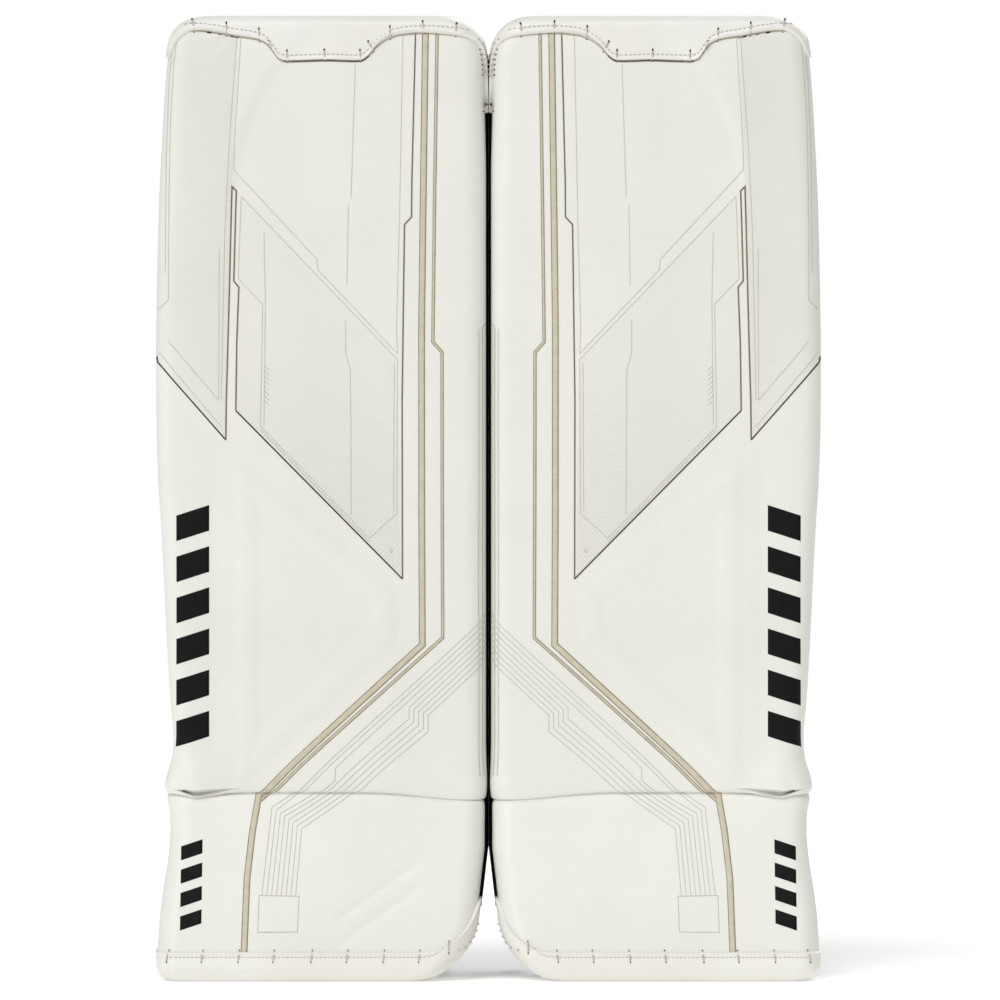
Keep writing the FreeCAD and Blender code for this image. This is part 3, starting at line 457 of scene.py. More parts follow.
class Surface:
    """A procedural material: a principled shader and short calls that add its nodes."""

    def __init__(self, name, roughness, own=True, **sockets):
        """own is for this script's pieces, whose patterns follow their places at rest."""
        self.material = bpy.data.materials.new(name)
        self.material.use_nodes = True
        self.tree = self.material.node_tree
        self.shader = self.tree.nodes["Principled BSDF"]
        self.shader.inputs["Roughness"].default_value = roughness
        for key, value in sockets.items():
            self.shader.inputs[key.replace("_", " ")].default_value = value
        if own:
            self.place = self.node("ShaderNodeAttribute", {}, "Vector", attribute_name="rest")
        else:
            self.place = self.node("ShaderNodeTexCoord", {}, "Object")
        self.normal = None

    def node(self, kind, inputs, output, **settings):
        """Adds a node. Each of its inputs is a plain value or another node's output."""
        node = self.tree.nodes.new(kind)
        for key, value in settings.items():
            setattr(node, key, value)
        for key, value in inputs.items():
            if isinstance(value, bpy.types.NodeSocket):
                self.tree.links.new(value, node.inputs[key])
            else:
                node.inputs[key].default_value = value
        return node.outputs[output]

    def noise(self, scale, detail=3.0, place=None):
        inputs = {"Vector": place or self.place, "Scale": scale, "Detail": detail}
        return self.node("ShaderNodeTexNoise", inputs, "Fac")

    def cells(self, scale, place=None, randomness=1.0):
        inputs = {"Vector": place or self.place, "Scale": scale, "Randomness": randomness}
        return self.node("ShaderNodeTexVoronoi", inputs, "Distance")

    def scaled(self, factors, turn=0.0):
        """Places stretched by the factors, after a turn in degrees about the axis from front to back."""
        inputs = {"Vector": self.place, "Scale": factors, "Rotation": (0, math.radians(turn), 0)}
        return self.node("ShaderNodeMapping", inputs, "Vector")

    def ribs(self, scale, direction, place=None, distortion=0.0):
        inputs = {"Vector": place or self.place, "Scale": scale, "Distortion": distortion}
        return self.node("ShaderNodeTexWave", inputs, "Fac", bands_direction=direction)

    def span(self, value, low, high, to_low=0.0, to_high=1.0):
        inputs = {"Value": value, "From Min": low, "From Max": high, "To Min": to_low, "To Max": to_high}
        return self.node("ShaderNodeMapRange", inputs, "Result")

    def maths(self, operation, a, b):
        return self.node("ShaderNodeMath", {0: a, 1: b}, "Value", operation=operation)

    def both(self, a, b):
        """Three parts of one pattern to two of another."""
        return self.maths("ADD", self.maths("MULTIPLY", a, 0.6), self.maths("MULTIPLY", b, 0.4))

    def mix(self, factor, a, b):
        """A mix of two colours, each a screen colour or a node's output."""
        a, b = (linear(v) if isinstance(v, tuple) else v for v in (a, b))
        return self.node("ShaderNodeMix", {"Factor": factor, "A": a, "B": b}, "Result", data_type="RGBA")

    def colour(self, out):
        self.tree.links.new(out, self.shader.inputs["Base Color"])

    def rough(self, value, low, high):
        self.tree.links.new(self.span(value, 0, 1, low, high), self.shader.inputs["Roughness"])

    def bump(self, value, height, strength=1.0):
        """Adds a bump of this height in millimetres on top of those already there."""
        inputs = {"Height": value, "Distance": height * MM, "Strength": strength}
        if self.normal is not None:
            inputs["Normal"] = self.normal
        self.normal = self.node("ShaderNodeBump", inputs, "Normal")
        self.tree.links.new(self.normal, self.shader.inputs["Normal"])


def leather(name, light, dark, roughness):
    """Synthetic leather: fine pebble grain, faint mottling, and a duller look where it has rubbed."""
    s = Surface(name, roughness, Coat_Weight=0.15, Coat_Roughness=0.35, Specular_IOR_Level=0.4)
    mottling = s.noise(9, 4)
    fine = s.noise(70, 3)
    tone = s.mix(s.span(mottling, 0.35, 0.7), light, dark)
    s.colour(s.mix(s.span(fine, 0.45, 0.75, 0, 0.35), tone, dark))
    s.rough(s.noise(40, 2), roughness - 0.06, roughness + 0.1)
    s.bump(s.cells(1150), 0.05)
    s.bump(s.noise(420, 4), 0.06)
    return s


def make_skin():
    """The white front: leather with the printed panels' fine slanted hatching, where tint says so."""
    s = leather("white_skin", (226, 226, 219), (222, 221, 214), 0.4)
    base = s.shader.inputs["Base Color"].links[0].from_socket
    tint = s.node("ShaderNodeAttribute", {}, "Fac", attribute_name="tint")
    lines = s.span(s.ribs(105, "X", s.scaled((1, 1, 1), 42), 0.6), 0.35, 0.8)
    crossing = s.span(s.noise(1, 2, s.scaled((30, 1, 900), -48)), 0.4, 0.65)
    ink = s.maths("MULTIPLY", s.both(lines, crossing), tint)
    washed = s.mix(s.maths("MULTIPLY", tint, 0.3), base, (204, 201, 190))
    s.colour(s.mix(s.maths("MULTIPLY", ink, 0.26), washed, (170, 168, 154)))
    return s.material


def make_weave(name, light, dark, threads, roughness=0.75):
    """Woven nylon: crossed threads with a slight sheen and uneven yarns."""
    s = Surface(name, roughness, Sheen_Weight=0.25, Sheen_Roughness=0.5)
    across = s.ribs(threads, "X")
    deep = s.ribs(threads, "Y")
    up = s.ribs(threads, "Z")
    yarn = s.maths("MAXIMUM", s.maths("MULTIPLY", across, up), s.maths("MULTIPLY", deep, up))
    uneven = s.noise(60, 3)
    s.colour(s.mix(s.both(yarn, uneven), dark, light))
    s.rough(uneven, roughness - 0.1, roughness + 0.12)
    s.bump(yarn, 0.25)
    s.bump(s.noise(35, 2), 0.3, 0.5)
    return s.material


def make_mesh_knit():
    """The grey liner against the leg: a knitted spacer mesh with open cells."""
    s = Surface("grey_liner", 0.85, Sheen_Weight=0.3, Sheen_Roughness=0.6)
    inputs = {"Vector": s.place, "Angle": math.radians(45)}
    spread = s.node("ShaderNodeVectorRotate", inputs, "Vector", rotation_type="Z_AXIS")
    flat = s.node("ShaderNodeMapping", {"Vector": spread, "Scale": (1.4, 0.0, 1.0)}, "Vector")
    holes = s.span(s.cells(300, flat, 0.1), 0.12, 0.42)
    worn = s.mix(s.noise(14, 4), (104, 107, 110), (124, 127, 129))
    s.colour(s.mix(holes, (72, 74, 77), worn))
    s.rough(s.noise(50), 0.75, 0.95)
    s.bump(holes, 0.35)
    s.bump(s.noise(40, 2), 0.4, 0.5)
    return s.material


def make_webbing(name, own=True):
    """Strap webbing: ribs along the strap with a raised edge and fine cross threads."""
    s = Surface(name, 0.7, own, Sheen_Weight=0.2, Sheen_Roughness=0.5)
    threads = s.both(s.ribs(110, "Z"), s.ribs(190, "X"))
    s.colour(s.mix(threads, (14, 14, 15), (44, 44, 46)))
    s.rough(s.noise(80), 0.6, 0.82)
    s.bump(threads, 0.35)
    return s.material


def make_moulded(name, light, dark, roughness, own=True):
    """Moulded rubber or plastic: a fine pitted texture and lighter rubbed patches."""
    s = Surface(name, roughness, own)
    worn = s.noise(26, 5)
    s.colour(s.mix(s.span(worn, 0.4, 0.7), dark, light))
    s.rough(worn, roughness - 0.1, roughness + 0.12)
    s.bump(s.noise(900, 2), 0.05)
    s.bump(s.noise(60, 2), 0.15, 0.6)
    return s.material


def make_metal():
    """Nickel plated eyelets with turning marks and small scratches."""
    s = Surface("eyelet_metal", 0.28, False, Metallic=1.0)
    scratches = s.noise(1, 3, s.scaled((300, 900, 300)))
    s.colour(s.mix(s.span(scratches, 0.3, 0.7), (150, 150, 148), (205, 204, 200)))
    s.rough(scratches, 0.18, 0.4)
    s.bump(scratches, 0.03)
    return s.material


def make_cord(name, light, dark, pitch=700):
    """Braided lace cord: slanted strands, darker in the grooves between them with painted shade."""
    s = Surface(name, 0.7, Sheen_Weight=0.2, Sheen_Roughness=0.5)
    strands = s.ribs(pitch, "DIAGONAL", None, 1.0)
    s.colour(s.mix(s.span(strands, 0.1, 0.7), dark, light))
    s.rough(strands, 0.75, 0.6)
    s.bump(strands, 0.25)
    return s.material


def make_print(name, light, dark, roughness=0.45, gloss=0.4):
    """Printing ink on the leather: the grain shows through, and the colour is a little uneven."""
    s = Surface(name, roughness, Specular_IOR_Level=gloss)
    s.colour(s.mix(s.span(s.noise(160, 3), 0.35, 0.7), light, dark))
    s.rough(s.noise(60), roughness - 0.05, roughness + 0.1)
    s.bump(s.cells(1150), 0.05)
    return s.material


white_skin = make_skin()
white_binding = leather("white_binding", (229, 228, 222), (224, 222, 214), 0.38).material
black_side = leather("black_side", (24, 24, 25), (14, 14, 15), 0.5).material
black_guard = make_moulded("black_guard", (34, 34, 35), (15, 15, 16), 0.5, False)
black_fabric = make_weave("black_fabric", (38, 38, 41), (12, 12, 13), 260)
black_back = make_weave("black_back", (40, 40, 42), (13, 13, 14), 200)
grey_liner = make_mesh_knit()
webbing = make_webbing("webbing")
bridge_webbing = make_webbing("bridge_webbing", False)
tab_rubber = make_moulded("tab_rubber", (52, 52, 54), (24, 24, 25), 0.55)
loop_fastener = make_weave("loop_fastener", (58, 58, 61), (20, 20, 21), 420, 0.95)
piping_black = make_cord("piping_black", (40, 40, 42), (16, 16, 17), 300)
eyelet_metal = make_metal()
lace_cord = make_cord("lace_cord", (232, 229, 215), (186, 176, 150))
stitch_grey = make_cord("stitch_grey", (206, 202, 196), (176, 171, 164))
stitch_silver = make_cord("stitch_silver", (150, 151, 154), (104, 105, 108))
# painted shade: the dark inside the lace holes, and the darkest parts of the shadow under the cap's rim
painted_hole_shade = make_moulded("painted_hole_shade", (62, 52, 42), (38, 31, 25), 0.8)
# painted shade in the gaping fold above the boot, in three tones from pale to dark
fold_pale = make_moulded("fold_pale", (196, 195, 188), (184, 182, 176), 0.7)
fold_shade = make_moulded("fold_shade", (160, 158, 152), (146, 144, 138), 0.7)
dark_painted_crease_shade = make_moulded("dark_painted_crease_shade", (96, 93, 88), (76, 73, 68), 0.8)
rim_shadow = make_moulded("rim_shadow", (186, 176, 160), (160, 150, 132), 0.7)
ink_taupe = make_print("ink_taupe", (200, 193, 171), (190, 182, 159))
ink_taupe_edge = make_print("ink_taupe_edge", (146, 136, 112), (130, 120, 98))
ink_brown = make_print("ink_brown", (122, 110, 86), (104, 92, 70))
ink_dark = make_print("ink_dark", (62, 52, 34), (46, 38, 24))
ink_grey = make_print("ink_grey", (203, 202, 192), (194, 193, 182))
ink_circuit = make_print("ink_circuit", (196, 192, 182), (186, 182, 170))
ink_black = make_print("ink_black", (14, 14, 14), (8, 8, 8), 0.6, 0.15)


# ---------------------------------------------------------------- the two padded halves of each pad

TINT_MAIN = [(208.5, 665.5), (73.5, 526), (70, 339), (211, 482)]
TINT_OUTER = [(300, 810), (211, 804), (214, 687), (220, 458), (300, 550)]
ROW_STEP = 2.5
FOLD_ROW_STEP = 0.8
WHITE, BLACK_SIDE, BLACK_BACK = range(3)


def skin_rows(low, high):
    """Heights of the rows of points: close together in the fold and at the rounded ends."""
    rows = []
    s = low
    if low <= SOLE:
        for i in range(7):
            rows.append(SOLE + SOLE_OUTER_RADIUS * (1 - math.cos(math.radians(15 * i))))
        s = rows[-1] + ROW_STEP
    stop = CROWN - CROWN_INNER_RADIUS if high >= CROWN else high
    while s < stop - 1:
        rows.append(s)
        s += FOLD_ROW_STEP if 143 <= s < 200 else ROW_STEP
    rows.append(stop)
    if high >= CROWN:
        for i in range(1, 15):
            rows.append(CROWN - CROWN_INNER_RADIUS * (1 - math.sin(math.radians(90 * i / 14))))
    return np.array(rows)


def tint_at(x, s):
    """How strongly the printed hatching shows: most at each panel's lower tip."""
    main = ease(depth_inside(TINT_MAIN, x, s), 2.5) * np.clip(0.25 + (560 - s) / 260, 0.2, 1.0)
    outer = ease(depth_inside(TINT_OUTER, x, s), 2.5) * np.clip(0.55 - (x - 240) / 120, 0.25, 0.8)
    return np.clip(main + outer, 0, 1)


def column_slot(column):
    if column.back > 0.9:
        return BLACK_BACK
    return BLACK_SIDE if column.back > 0.05 and column.across < 0.5 else WHITE


def pad_half(side, part):
    """The skin of the boot and shin, or of the knee and thigh, as one closed crowned form."""
    rows = skin_rows(SOLE, CUT) if part == "lower" else skin_rows(CUT, CROWN)
    shape = Shape()
    shape.loft(np.stack([column_points(c, rows) for c in COLUMNS], axis=1), sharp=True)
    shape.slots = [column_slot(c) for c in COLUMNS] * (len(rows) - 1) + [BLACK_BACK, WHITE]
    piece = build(f"{side}_{part}_padding", side, shape, [white_skin, black_side, black_back])
    x, _, z = np.array(shape.points).T
    front = np.tile([-c.ny > 0.02 for c in COLUMNS], len(rows))
    attribute = piece.data.attributes.new("tint", "FLOAT", "POINT")
    attribute.data.foreach_set("value", np.where(front, tint_at(x, z), 0).astype(np.float32))
    bend(piece)
    return piece


SHIN_LAYERS = ("shin_front_foam", "shin_stiffener", "shin_rear_foam", "shin_cover")

for side in SIDES:
    lower_nodes = [f"{side}_{n}" for n in ("boot_core", "boot_cover", *SHIN_LAYERS)]
    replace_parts(pad_half(side, "lower"), *lower_nodes)
    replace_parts(pad_half(side, "upper"), f"{side}_thigh_core", f"{side}_thigh_cover")


# ---------------------------------------------------------------- printed lines on the skin

PRINT_LIFT = 0.22
PRINT_TUCK = -0.35


def run_of(line):
    """How far along the line each of its points is."""
    return np.concatenate([[0], np.cumsum(np.linalg.norm(np.diff(line, axis=0), axis=1))])


def places_at(line, run, at):
    """The places at these distances along the line."""
    return np.stack([np.interp(at, run, line[:, k]) for k in range(line.shape[1])], axis=-1)


def resample(points, step=2.0):
    """Adds points along each run, so that a ribbon follows the skin."""
    out = [points[0]]
    for a, b in zip(points, points[1:]):
        parts = max(1, math.ceil(math.dist(a, b) / step))
        for i in range(1, parts + 1):
            t = i / parts
            out.append((a[0] + (b[0] - a[0]) * t, a[1] + (b[1] - a[1]) * t))
    return np.array(out)


def ribbon(shape, points, width, offset=0.0, slot=0, strips=1):
    """A thin raised band of ink along the line, mitred at its corners."""
    line = resample(points)
    way = np.diff(line, axis=0)
    way /= np.linalg.norm(way, axis=1)[:, None]
    before = np.vstack([way[:1], way])
    after = np.vstack([way, way[-1:]])
    mean = before + after
    mean /= np.linalg.norm(mean, axis=1)[:, None]
    stretch = 1 / np.clip(np.sum(mean * before, axis=1), 0.35, 1)
    sideways = np.stack([-mean[:, 1], mean[:, 0]], axis=1) * stretch[:, None]
    rows = []
    for k in range(strips + 1):
        x, s = (line + sideways * (offset + width * (k / strips - 0.5))).T
        if k == 0:
            rows.append(face_point(x, s, PRINT_TUCK))
        rows.append(face_point(x, s, PRINT_LIFT))
        if k == strips:
            rows.append(face_point(x, s, PRINT_TUCK))
    shape.loft(np.stack(rows, axis=1), slot, sharp=True)


def patch(shape, corners):
    """A filled four-sided block of ink on the skin, tucked in at its upper and lower edges."""
    a, b, c, d = (np.array(p, float) for p in corners)
    up = np.array([0, *np.linspace(0, 1, 13), 1])[:, None]
    lift = np.array([PRINT_TUCK] + [PRINT_LIFT] * 13 + [PRINT_TUCK])
    rings = []
    for across in np.linspace(0, 1, 9):
        low = a + (b - a) * across
        high = d + (c - d) * across
        x, s = (low + (high - low) * up).T
        rings.append(face_point(x, s, lift))
    shape.loft(rings)


def split_at_cut(points):
    """The parts of a line below and above the height where the two padded halves meet."""
    halves = {"lower": [], "upper": []}
    run = [points[0]]
    part = "upper" if points[0][1] > CUT or (points[0][1] == CUT and points[1][1] > CUT) else "lower"
    for a, b in zip(points, points[1:]):
        if (a[1] - CUT) * (b[1] - CUT) < 0:
            t = (CUT - a[1]) / (b[1] - a[1])
            crossing = (a[0] + (b[0] - a[0]) * t, CUT)
            halves[part].append(run + [crossing])
            part = "upper" if b[1] > CUT else "lower"
            run = [crossing]
        run.append(b)
    halves[part].append(run)
    return halves


def circuit_lines():
    """Eight fine lines from the inner edge, slanting down to the little square on the boot."""
    lines = []
    for k in range(8):
        z = 279.6 - 5.4 * k
        line = [(1.2, z + 29), (3.5, z + 23.5), (9, z + 17), (27, z)]
        if k == 2:
            line += [(126.5, 178.5), (126.5, 169)]
        if k > 2:
            jog = 63.7 - 4.05 * (k - 3)
            line += [(jog, 229.5 - 1.7 * (k - 3)), (jog, 220 - 2.8 * (k - 3))]
        meet = 163.2 - 4.3 * k if k < 2 else 144.7 - 6.4 * (k - 2)
        line += [(meet, 155.5), (180.3 - 3.63 * k, 145 - 2.6 * k), (188.1 - 4.1 * k, 71.2)]
        lines.append(line)
    return lines


THICK_STRIPE = [
    (50, 806), (51.5, 678), (53, 552), (52.9, 400), (52.4, 283), (191.6, 155), (196.7, 124.4),
    (200.8, 85.4), (202.6, 22),
]
THIN_STRIPE = [
    (40, 806), (42, 660), (43.4, 541), (35.6, 532), (35.4, 400), (35, 289), (184, 155), (190, 150.5),
]
MAIN_OUTLINE = [
    (219.8, 457.5), (219.4, 491), (217, 576), (214.7, 673.5), (211, 669.9), (213, 593),
    (208.7, 587.5), (210.5, 540), (211.3, 482.5),
]
MAIN_SLANT = [(211.3, 482.5), (69.3, 339)]
MAIN_INNER = [(69.3, 339), (69.6, 491), (67.6, 641), (61.6, 647.5), (61.4, 677), (58.5, 806)]
OUTER_SLANT = [(219.8, 457.5), (278.4, 524), (279.2, 529)]
FINE_LINES = [
    [(207.7, 806), (212.9, 713), (213.5, 688), (142, 611), (141.5, 602.5), (73.6, 531)],
    [(211.1, 806), (217.7, 707), (220.7, 636), (222.7, 547), (223.7, 491)],
    [
        (206.8, 665), (73.6, 526), (74.2, 395), (97.5, 373.6), (190.3, 469), (188.5, 573),
        (209.4, 595), (206.8, 665),
    ],
    [(187.4, 634), (186.2, 575), (187.4, 470)],
    [(76.4, 524), (77, 397)],
    [(110, 778), (113.3, 664)],
    [(115.5, 658), (116.6, 589)],
    [(117.8, 559), (117.8, 531), (113.7, 518), (113, 394)],
    [(69.3, 806), (72, 644), (74.5, 552), (73.6, 531)],
    [(224, 469), (277, 532)],
    [(226, 491.5), (269, 541.5)],
    [(226, 491.5), (225.5, 620)],
    [(190.3, 466), (98, 371)],
]
SEAM_LINES = [
    [(259.4, 806), (263.7, 797), (265.4, 780), (268, 729), (268.8, 661), (269, 577), (277.2, 569)],
    [(262.6, 803), (267, 790), (269.4, 765), (271.4, 700), (271.8, 600)],
    [(0.5, 557), (2.6, 554), (2.6, 172)],
    [(5.2, 552), (5.2, 172)],
]
BOOT_SQUARE = [(190.4, 71.2), (156.5, 70.6), (157.6, 41), (191.2, 40.6), (190.4, 71.2)]
TICKS = [[(187.4, z), (182.8, z - 4.4)] for z in np.arange(521, 490, -4.25)]

# Each group's inks, and its printed lines as (ink, line, width, sideways shift, strips).
INKS = {
    "stripes": [ink_taupe, ink_taupe_edge],
    "outlines": [ink_brown, ink_dark],
    "fine_lines": [ink_grey, ink_circuit],
}
PRINTS = {
    "stripes": [
        (0, THICK_STRIPE, 5.0, 0.0, 3),
        (1, THICK_STRIPE, 0.7, 2.5, 1),
        (1, THICK_STRIPE, 0.7, -2.5, 1),
        (0, THIN_STRIPE, 2.0, 0.0, 1),
        (1, THIN_STRIPE, 0.6, 1.1, 1),
        (1, THIN_STRIPE, 0.6, -1.1, 1),
    ],
    "outlines": [
        (0, MAIN_OUTLINE, 1.25, 0.0, 1),
        (0, MAIN_INNER, 1.25, 0.0, 1),
        (1, MAIN_SLANT, 1.2, 0.0, 1),
        (1, OUTER_SLANT, 1.2, 0.0, 1),
    ],
    "fine_lines": [
        *[(0, line, 0.7, 0.0, 1) for line in FINE_LINES],
        *[(0, line, 0.8, 0.0, 1) for line in SEAM_LINES],
        *[(0, line, 0.6, 0.0, 1) for line in TICKS],
        *[(1, line, 0.55, 0.0, 1) for line in circuit_lines()],
        (1, BOOT_SQUARE, 0.6, 0.0, 1),
    ],
}


def slanted_bars(shape, low, high, left, right, count, share, slant):
    """A column of plain slanted bars, in the place of the marks."""
    pitch = (high - low) / (count - 1 + share)
    for i in range(count):
        z = low + pitch * i
        top = z + pitch * share
        patch(shape, [(left, z), (right, z + slant), (right, top + slant), (left, top)])


def ring_dot(shape, x, z, radius):
    """A small printed ring."""
    turns = [2 * math.pi * i / 16 for i in range(17)]
    ribbon(shape, [(x + radius * math.cos(a), z + radius * math.sin(a)) for a in turns], 0.6)


for side in SIDES:
    for group, inks in INKS.items():
        shapes = {part: Shape() for part in PARTS}
        for ink, points, width, shift, strips in PRINTS[group]:
            for part, runs in split_at_cut(points).items():
                for run in runs:
                    ribbon(shapes[part], run, width, shift, ink, strips)
        if group == "fine_lines":
            ring_dot(shapes["lower"], 79, 363, 1.3)
        for part in PARTS:
            bend(build(f"{side}_{part}_{group}", side, shapes[part], inks))
    bars = Shape()
    slanted_bars(bars, 205, 402, 234, 262, 6, 0.62, -9)
    slanted_bars(bars, 48, 118, 239, 257, 4, 0.6, -6)
    bend(build(f"{side}_bars", side, bars, [ink_black]))


# ---------------------------------------------------------------- toe binding and top cap

cap_edge = smooth_curve([
    (0, 770), (1.2, 786), (4, 796.5), (10, 801.5), (21, 804), (51.5, 806), (72, 804.3), (82, 801),
    (91.6, 794.5), (99, 786.5), (104, 783), (110, 782.3), (135, 783), (168, 782.2), (174.5, 783.4),
    (181, 791.5), (186, 797), (193, 800.2), (203, 802.2), (213, 803.5), (230, 806.6), (246, 808.2),
    (254, 808), (260, 804), (265, 795), (268, 785),
])
toe_lip = smooth_curve([(0, 66), (4, 51), (9, 39), (17, 28), (26, 25), (37, 24.3), (280, 24.3)])

CAP_SIDE_LOW = 738.0
CAP_OUTER_LOW = 790.0
CAP_BACK_LOW = 796.0
TOE_SIDE_HIGH = 68.0
TOE_OUTER_HIGH = 26.0
TOE_BACK_HIGH = 34.0


def cap_edge_at(x):
    return float(cap_edge(x))


def toe_edge_at(x, s):
    """The toe binding's upper edge at x. s is a height near it, where the inner edge is found."""
    return float(toe_lip(x - float(inner_edge(s))))


def edge_height(column, back, inner_side, outer_side):
    """The edge's height on the back and sides, or None on the face."""
    if column.back > 0.9:
        return back
    if column.back > 0 or column.nx <= -0.999:
        return inner_side if column.across < 0.5 else outer_side
    return None


def cap_low(column):
    """The height of the cap's lower edge on that column."""
    height = edge_height(column, CAP_BACK_LOW, CAP_SIDE_LOW, CAP_OUTER_LOW)
    return cap_edge_at(column_points(column, 790.0)[0]) if height is None else height


def toe_high(column):
    """The height of the toe binding's upper edge on that column."""
    height = edge_height(column, TOE_BACK_HIGH, TOE_SIDE_HIGH, TOE_OUTER_HIGH)
    if height is None:
        height = 30.0
        for _ in range(8):
            height = toe_edge_at(float(column_points(column, height)[0]), height)
    return height


def rim_lift(away):
    """How far the binding stands out, this far from its folded edge: a rolled rim, then flat."""
    return BINDING - 0.5 + 0.5 * ease(away - 1, 6) + 0.75 * bump(away, 1.3, 1.1)


def binding(name, side, edge_of, end, inner_lift=0.0):
    """A folded strip of skin over one end of the pad, from its laced edge round the end.

    inner_lift is how much thicker it is on the side that faces the other pad.
    """
    extra = []
    for c in COLUMNS:
        thicker = inner_lift * max(0.0, -c.nx) ** 2 * (1 - c.back * 0.5)
        extra.append(thicker - 0.9 * max(0.0, c.nx) ** 2)
    up = 1.0 if end > CUT else -1.0
    edges = [edge_of(c) for c in COLUMNS]
    hem = 5.0
    levels = []
    for away in (0.0, 0.0, 0.35, 0.8, 1.3, 1.9, 2.6, 3.6, hem):
        levels.append([(e + up * away, rim_lift(away)) for e in edges])
    levels[0] = [(e, -0.8) for e in edges]
    levels[1] = [(e, BINDING - 1.2) for e in edges]
    for i in range(1, 17):
        t = math.sin(math.radians(90 * i / 16))
        heights = [e + up * hem + (end - e - up * hem) * t for e in edges]
        levels.append([(s, rim_lift(abs(s - e))) for s, e in zip(heights, edges)])
    rows = []
    for level in levels:
        rows.append([column_points(c, s, lift + x) for c, (s, lift), x in zip(COLUMNS, level, extra)])
    last = np.array(rows[-1])
    middle = last.mean(axis=0)
    for k in (0.75, 0.45, 0.15):
        ring = last.copy()
        ring[:, 1] = middle[1] + (last[:, 1] - middle[1]) * k
        ring[:, 0] = middle[0] + (last[:, 0] - middle[0]) * (0.6 + 0.4 * k)
        ring[:, 2] += up * 0.4 * (1 - k)
        rows.append(ring)
    count = len(COLUMNS)
    faces = grid_faces(len(rows), count, True)
    faces.append(tuple(range((len(rows) - 1) * count, len(rows) * count)))
    shape = Shape()
    shape.add(np.array(rows), faces)
    piece = build(name, side, shape, [white_binding])
    fix_normals(piece)
    return piece


def stitches(shape, points, length, radius):
    """A row of short raised stitches along a line on a binding."""
    gap = 1.5
    line = resample(points, 0.5)
    run = run_of(line)
    start = 0.5
    while start + length < run[-1]:
        at = places_at(line, run, np.linspace(start, start + length, 5))
        rise = BINDING + 0.1 + np.array([-0.35, 0.12, 0.2, 0.12, -0.35])
        shape.tube([face_point(x, s, lift) for (x, s), lift in zip(at, rise)], radius, 6)
        start += length + gap


def hole(shape, x, s, lift, size):
    """The mouth of a lace hole: a small dome, sunk in the skin, dark with painted shade for the hole's depth.
    size is half its width and height.
    """
    turns = [2 * math.pi * k / 10 for k in range(10)]
    rings = []
    for ring, rise in ((1.0, -0.5), (1.0, 0.0), (0.6, 0.12)):
        across = [x + ring * size[0] * math.cos(a) for a in turns]
        heights = [s + ring * size[1] * math.sin(a) for a in turns]
        rings.append([face_point(u, v, lift + rise) for u, v in zip(across, heights)])
    shape.loft(rings, 1)


def tie(shape, place, inward, inside, outside, inner_hole=(0.75, 1.5)):
    """A short lace over the binding's edge at place, in at a hole on each side of it.

    inward points from the edge into the binding.
    """
    reach = math.hypot(*inward)

    def past(distance):
        return (place[0] + inward[0] / reach * distance, place[1] + inward[1] / reach * distance)

    path = []
    widths = []
    for i in range(13):
        t = i / 12
        arch = math.sin(math.pi * t)
        path.append(face_point(*past(inside * (1 - t) - outside * t), -0.6 + 2.6 * (1 - t) + arch * 2.0))
        widths.append(0.66 + 0.2 * arch)
    shape.tube(path, np.array(widths), 8, 0, 0.8, 1.5)
    if inner_hole is not None:
        hole(shape, *past(inside + 0.4), BINDING + 0.15, inner_hole)
    hole(shape, *past(-outside - 0.2), 0.15, (0.6, 0.8))


def side_lacing(shape, line, pitch, inward):
    """Close lacing along the binding's edge where it turns in between the pads."""
    line = resample(line, 0.5)
    run = run_of(line)
    for at in np.arange(pitch / 2, run[-1], pitch):
        tie(shape, places_at(line, run, at), inward, 1.3, 0.9, None)


def edge_shadow(shape):
    """A painted shadow for the tan gap under the cap's rolled rim, darker in the notch and where the rim
    lifts.
    """
    points = [(x, cap_edge_at(x) - 0.7) for x in np.arange(6, 263, 2.0)]
    ribbon(shape, points, 1.3, slot=1)
    ribbon(shape, [(x, z - 0.5) for x, z in points if 96 < x < 173], 1.0, slot=2)
    for x, length in ((235, 4.0), (226, 3.0), (213, 7.0)):
        gap = [(x + d, cap_edge_at(x + d) - 1.0) for d in (-length / 2, 0, length / 2)]
        ribbon(shape, gap, 1.5, slot=2)


def painted_crease_shadow(side):
    """Painted shade where the fold gapes near its outer end: three long dark lenses laid on the skin, darkest
    in the middle.
    """
    shape = Shape()
    lenses = ((206.0, 262.0, 2.1), (219.0, 259.0, 1.4), (246.5, 257.5, 1.0))
    for slot, (start, end, widest) in enumerate(lenses):
        lift = 0.2 + 0.15 * slot
        profile = [(k, lift * (1 - k * k)) for k in (-1, -0.5, 0, 0.5, 1)] + [(k, -1.2) for k in (1, 0, -1)]
        rings = []
        for i in range(17):
            t = i / 16
            x = start + (end - start) * t
            gape = widest * math.sin(math.pi * t ** 1.5) + 0.06
            middle = 163.9 + 0.02 * (x - 238)
            rings.append([face_point(x, middle + gape * k, rise) for k, rise in profile])
        shape.loft(rings, slot)
    piece = build(f"{side}_crease_lining", side, shape, [fold_pale, fold_shade, dark_painted_crease_shade])
    fix_normals(piece)
    bend(piece)


CAP_TIES = [24, 52, 80, 95, 105.5, 136, 168, 180.5, 192, 220, 248]
NOTCH_CORNER_TIES = (95, 180.5)
CAP_SIDE_LINE = [(9, 801), (4, 796.5), (2.2, 790.5), (1.2, 786), (0.6, 776), (0.6, 768)]
TOE_TIES = [29.5, 54, 84, 115, 145, 177, 206.5, 237.5, 266]
TOE_SIDE_LINE = [(26, 25.2), (17, 28), (10, 38), (6.8, 47)]

